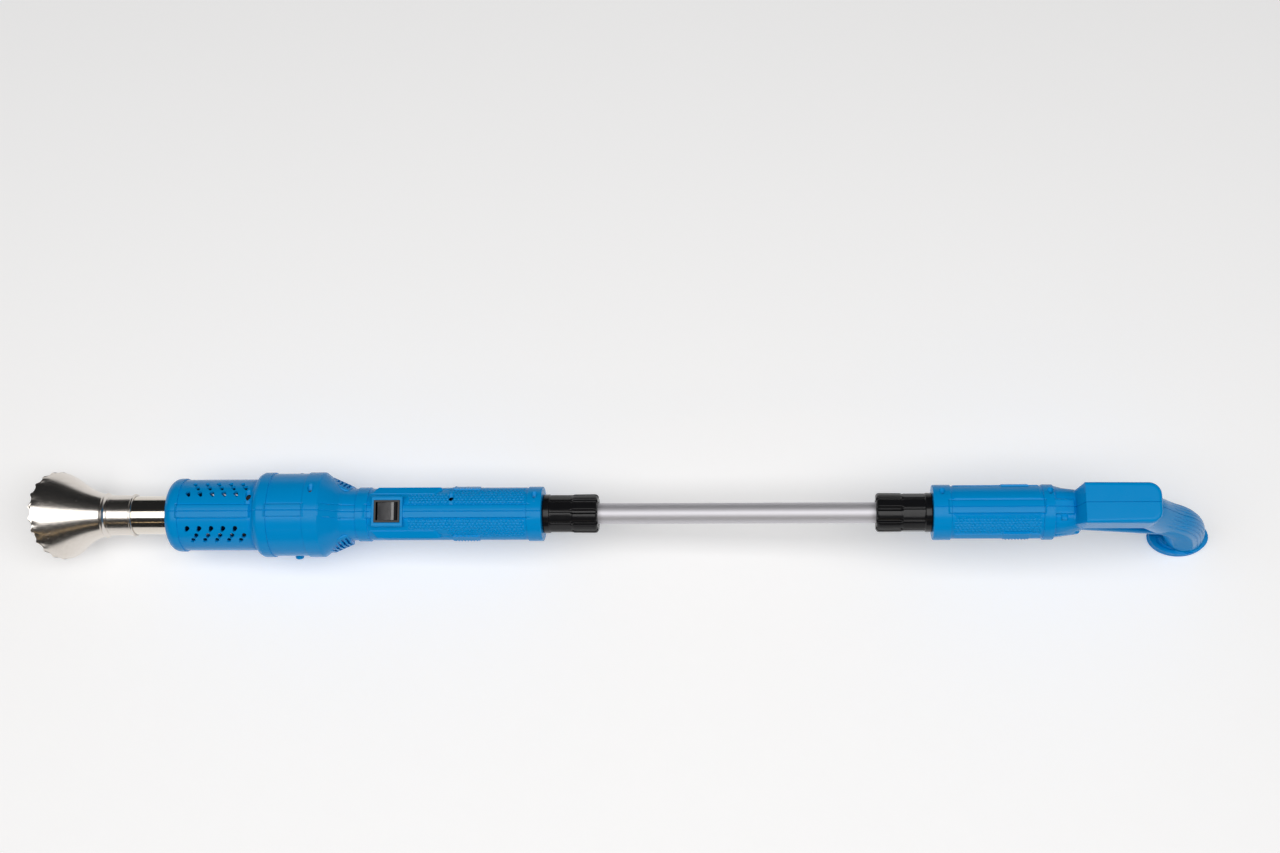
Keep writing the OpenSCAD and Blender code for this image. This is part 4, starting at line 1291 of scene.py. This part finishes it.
# ---------------------------------------------------------------- stage
def build_stage(look):
    """Pale table, overhead soft light, dark surroundings and the camera."""
    scene = bpy.context.scene
    scene.view_settings.view_transform = "Standard"
    scene.view_settings.look = "None"
    scene.view_settings.exposure = look.exposure
    table = Finish("table")
    table.set(Base_Color=table.mix(table.noise(3, 2), (0.86, 0.86, 0.865), (0.875, 0.875, 0.88)),
              Roughness=table.noise(40, 2) * 0.1 + 0.5, Emission_Color=(1, 1, 1, 1),
              Emission_Strength=look.table_glow)
    half = 6
    corners = [(-half, -half, 0), (half, -half, 0), (half, half, 0), (-half, half, 0)]
    mesh = bpy.data.meshes.new("table")
    mesh.from_pydata(corners, [], [(0, 1, 2, 3)])
    floor = linked("table", mesh)
    centre_x = ORIGIN.x * 0.5
    floor.location = (centre_x, 0, CAD_BOX[0][2])
    mesh.materials.append(table.material)
    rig.stage(floor)
    world = bpy.data.worlds.new("surroundings")
    scene.world = world
    world.use_nodes = True
    back = world.node_tree.nodes["Background"]
    back.inputs["Color"].default_value = (0.9, 0.94, 1.0, 1)
    back.inputs["Strength"].default_value = look.surround
    add_light("softbox", location=(centre_x, -0.40, 2.25), tilt=0, size=(4.4, 1.5), power=look.softbox,
              colour=(1.0, 0.99, 0.98))
    add_light("warm_strip", location=(centre_x, -3.0, 2.0), tilt=56, size=(4.4, 0.1), power=look.strip,
              colour=(1.0, 0.72, 0.4))
    camera_data = bpy.data.cameras.new("camera")
    camera_data.lens = LENS
    camera_data.sensor_width = SENSOR
    camera_data.clip_end = 50
    camera = linked("camera", camera_data)
    az, el = math.radians(look.azimuth), math.radians(look.elevation)
    ahead = Vector((math.sin(az) * math.cos(el), math.cos(az) * math.cos(el), -math.sin(el)))
    turn = ahead.to_track_quat("-Z", "Y").to_matrix()
    aim = ON_WAND @ Vector((look.aim_station, 0, 0))
    seen = Vector((0, -look.below_centre, -look.depth))
    camera.matrix_world = Matrix.Translation(aim - turn @ seen) @ turn.to_4x4()
    scene.camera = camera


def add_light(name, location, tilt, size, power, colour):
    """An oblong light that faces down, tilted about X by that many degrees."""
    data = bpy.data.lights.new(name, "AREA")
    data.shape = "RECTANGLE"
    data.size, data.size_y = size
    data.energy = power
    data.color = colour
    light = linked(name, data)
    light.location = location
    light.rotation_euler = (math.radians(tilt), 0, 0)


# ---------------------------------------------------------------- CAD pieces that stay
def build_finishes():
    """Gives every CAD node its slot's finish, and eased edges to the listed ones that still show."""
    slots = {s["node"]: s["material_slot"] for s in frame["record"]["subparts"]}
    eased = {"switch_rocker": 0.5, "switch_bezel": 0.35, "switch_body": 0.3, "fan_wheel": 0.2,
             "terminal_block": 0.4, "cable_inlet": 0.5, "extension_tube": 0.25, "heater_tube": 0.15}
    for name, obj in frame["nodes"].items():
        obj.data.materials.clear()
        obj.data.materials.append(finish(slots[name]))
        finish_mesh(obj.data, sharp=30)
        if name in eased and not obj.hide_render:
            bevel(obj, eased[name], 2, 40)


# ---------------------------------------------------------------- add-on
class WeedBurnerLook(bpy.types.PropertyGroup):
    """Sizes, colours and light that a user would change."""

    body_colour: bpy.props.FloatVectorProperty(
        name="Body colour", description="Colour of the moulded shells", subtype="COLOR",
        default=(0.0, 0.305, 0.74), min=0, max=1)
    trim_colour: bpy.props.FloatVectorProperty(
        name="Trim colour", description="Colour of the collars and the bezel", subtype="COLOR",
        default=(0.007, 0.007, 0.008), min=0, max=1)
    metal_colour: bpy.props.FloatVectorProperty(
        name="Nozzle colour", description="Colour of the polished nozzle and heater tube", subtype="COLOR",
        default=(0.80, 0.765, 0.72), min=0, max=1)
    scallops: bpy.props.IntProperty(
        name="Scallops", description="Waves round the bell's rim", default=22, min=8, max=40)
    voxel: bpy.props.FloatProperty(
        name="Weld size", description="Fineness of the welded pistol grip", default=0.00052,
        min=0.0004, max=0.002, unit="LENGTH")
    exposure: bpy.props.FloatProperty(
        name="Exposure", description="Brightness of the picture", default=0.0, min=-4, max=4)
    softbox: bpy.props.FloatProperty(
        name="Softbox", description="Power of the overhead light in watts", default=58.0, min=0)
    table_glow: bpy.props.FloatProperty(
        name="Table glow", description="Brightness of the lit table under the wand", default=0.28, min=0)
    strip: bpy.props.FloatProperty(
        name="Warm strip", description="Power of the low warm light in watts", default=2.5, min=0)
    surround: bpy.props.FloatProperty(
        name="Surroundings", description="Brightness of the room round the table", default=0.02, min=0)
    azimuth: bpy.props.FloatProperty(
        name="Azimuth", description="Turn of the camera from +Y, in degrees", default=-0.72)
    elevation: bpy.props.FloatProperty(
        name="Elevation", description="Height of the camera over the horizon, in degrees", default=74.8)
    aim_station: bpy.props.FloatProperty(
        name="Aim", description="Station of the wand at the middle of the view, in millimetres",
        default=528.3)
    below_centre: bpy.props.FloatProperty(
        name="Wand below centre", description="How far under the view's middle the wand lies",
        default=0.077649, unit="LENGTH")
    depth: bpy.props.FloatProperty(
        name="Camera distance", description="Depth of the wand from the camera", default=1.5867,
        unit="LENGTH")


class PieceOperator:
    """Shared form of the operators: run the piece's builder with the scene's settings."""

    def execute(self, context):
        self.build(context.scene.weed_burner)
        return {"FINISHED"}


class WEEDBURNER_OT_stage(PieceOperator, bpy.types.Operator):
    """Add the table, the lights and the camera"""
    bl_idname = "weedburner.stage"
    bl_label = "Stage"

    def build(self, look):
        build_stage(look)


class WEEDBURNER_OT_nozzle(PieceOperator, bpy.types.Operator):
    """Add the scalloped bell and its neck"""
    bl_idname = "weedburner.nozzle"
    bl_label = "Nozzle"

    def build(self, look):
        build_nozzle(look)


class WEEDBURNER_OT_housing(PieceOperator, bpy.types.Operator):
    """Add both halves of the head's housing, with vents, scoops and lugs"""
    bl_idname = "weedburner.housing"
    bl_label = "Housing"

    def build(self, look):
        for side in (1, -1):
            build_housing(side)
            build_scoop(side)
            build_lug(side)


class WEEDBURNER_OT_switch(PieceOperator, bpy.types.Operator):
    """Add the raised frame round the rocker switch"""
    bl_idname = "weedburner.switch"
    bl_label = "Switch frame"

    def build(self, look):
        build_switch_frame()


class WEEDBURNER_OT_buttons(PieceOperator, bpy.types.Operator):
    """Add the four serrated side buttons"""
    bl_idname = "weedburner.buttons"
    bl_label = "Side buttons"

    def build(self, look):
        for end in ("lower", "upper"):
            for hand in ("left", "right"):
                build_side_button(f"{end}_button_{hand}", f"{end}_{hand}_button")


class WEEDBURNER_OT_collars(PieceOperator, bpy.types.Operator):
    """Add the two clamping collars"""
    bl_idname = "weedburner.collars"
    bl_label = "Clamping collars"

    def build(self, look):
        build_collar("lower_collar", "lower_nut", LOWER[1], LOWER[0])
        build_collar("upper_collar", "upper_nut", UPPER[0], UPPER[1])


class WEEDBURNER_OT_handle(PieceOperator, bpy.types.Operator):
    """Add the sleeve, the bar with its pistol grip, and the foot cap"""
    bl_idname = "weedburner.handle"
    bl_label = "Handle"

    def build(self, look):
        for side in (1, -1):
            build_sleeve(side)
        build_pistol_grip(look)
        build_foot_cap()


class WEEDBURNER_OT_finishes(PieceOperator, bpy.types.Operator):
    """Give the CAD pieces that stay their finishes"""
    bl_idname = "weedburner.finishes"
    bl_label = "Finishes"

    def build(self, look):
        build_finishes()


OPERATORS = (WEEDBURNER_OT_stage, WEEDBURNER_OT_nozzle, WEEDBURNER_OT_housing, WEEDBURNER_OT_switch,
             WEEDBURNER_OT_buttons, WEEDBURNER_OT_collars, WEEDBURNER_OT_handle, WEEDBURNER_OT_finishes)


class WEEDBURNER_PT_panel(bpy.types.Panel):
    """Lists the pieces and the settings"""
    bl_label = "Weed burner"
    bl_idname = "WEEDBURNER_PT_panel"
    bl_space_type = "VIEW_3D"
    bl_region_type = "UI"
    bl_category = "Weed burner"

    def draw(self, context):
        look = context.scene.weed_burner
        for name in WeedBurnerLook.__annotations__:
            self.layout.prop(look, name)
        for operator in OPERATORS:
            self.layout.operator(operator.bl_idname)


CLASSES = (WeedBurnerLook,) + OPERATORS + (WEEDBURNER_PT_panel,)


def register():
    for cls in CLASSES:
        bpy.utils.register_class(cls)
    bpy.types.Scene.weed_burner = bpy.props.PointerProperty(type=WeedBurnerLook)


def unregister():
    del bpy.types.Scene.weed_burner
    for cls in reversed(CLASSES):
        bpy.utils.unregister_class(cls)


def main():
    register()
    for operator in OPERATORS:
        group, action = operator.bl_idname.split(".")
        getattr(getattr(bpy.ops, group), action)()
    bpy.context.view_layer.update()
    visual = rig.bounds()
    with open("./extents.json", "w") as f:
        json.dump({"cad": [list(c) for c in CAD_BOX], "visual": [list(c) for c in visual]}, f)


if __name__ == "__main__":
    main()
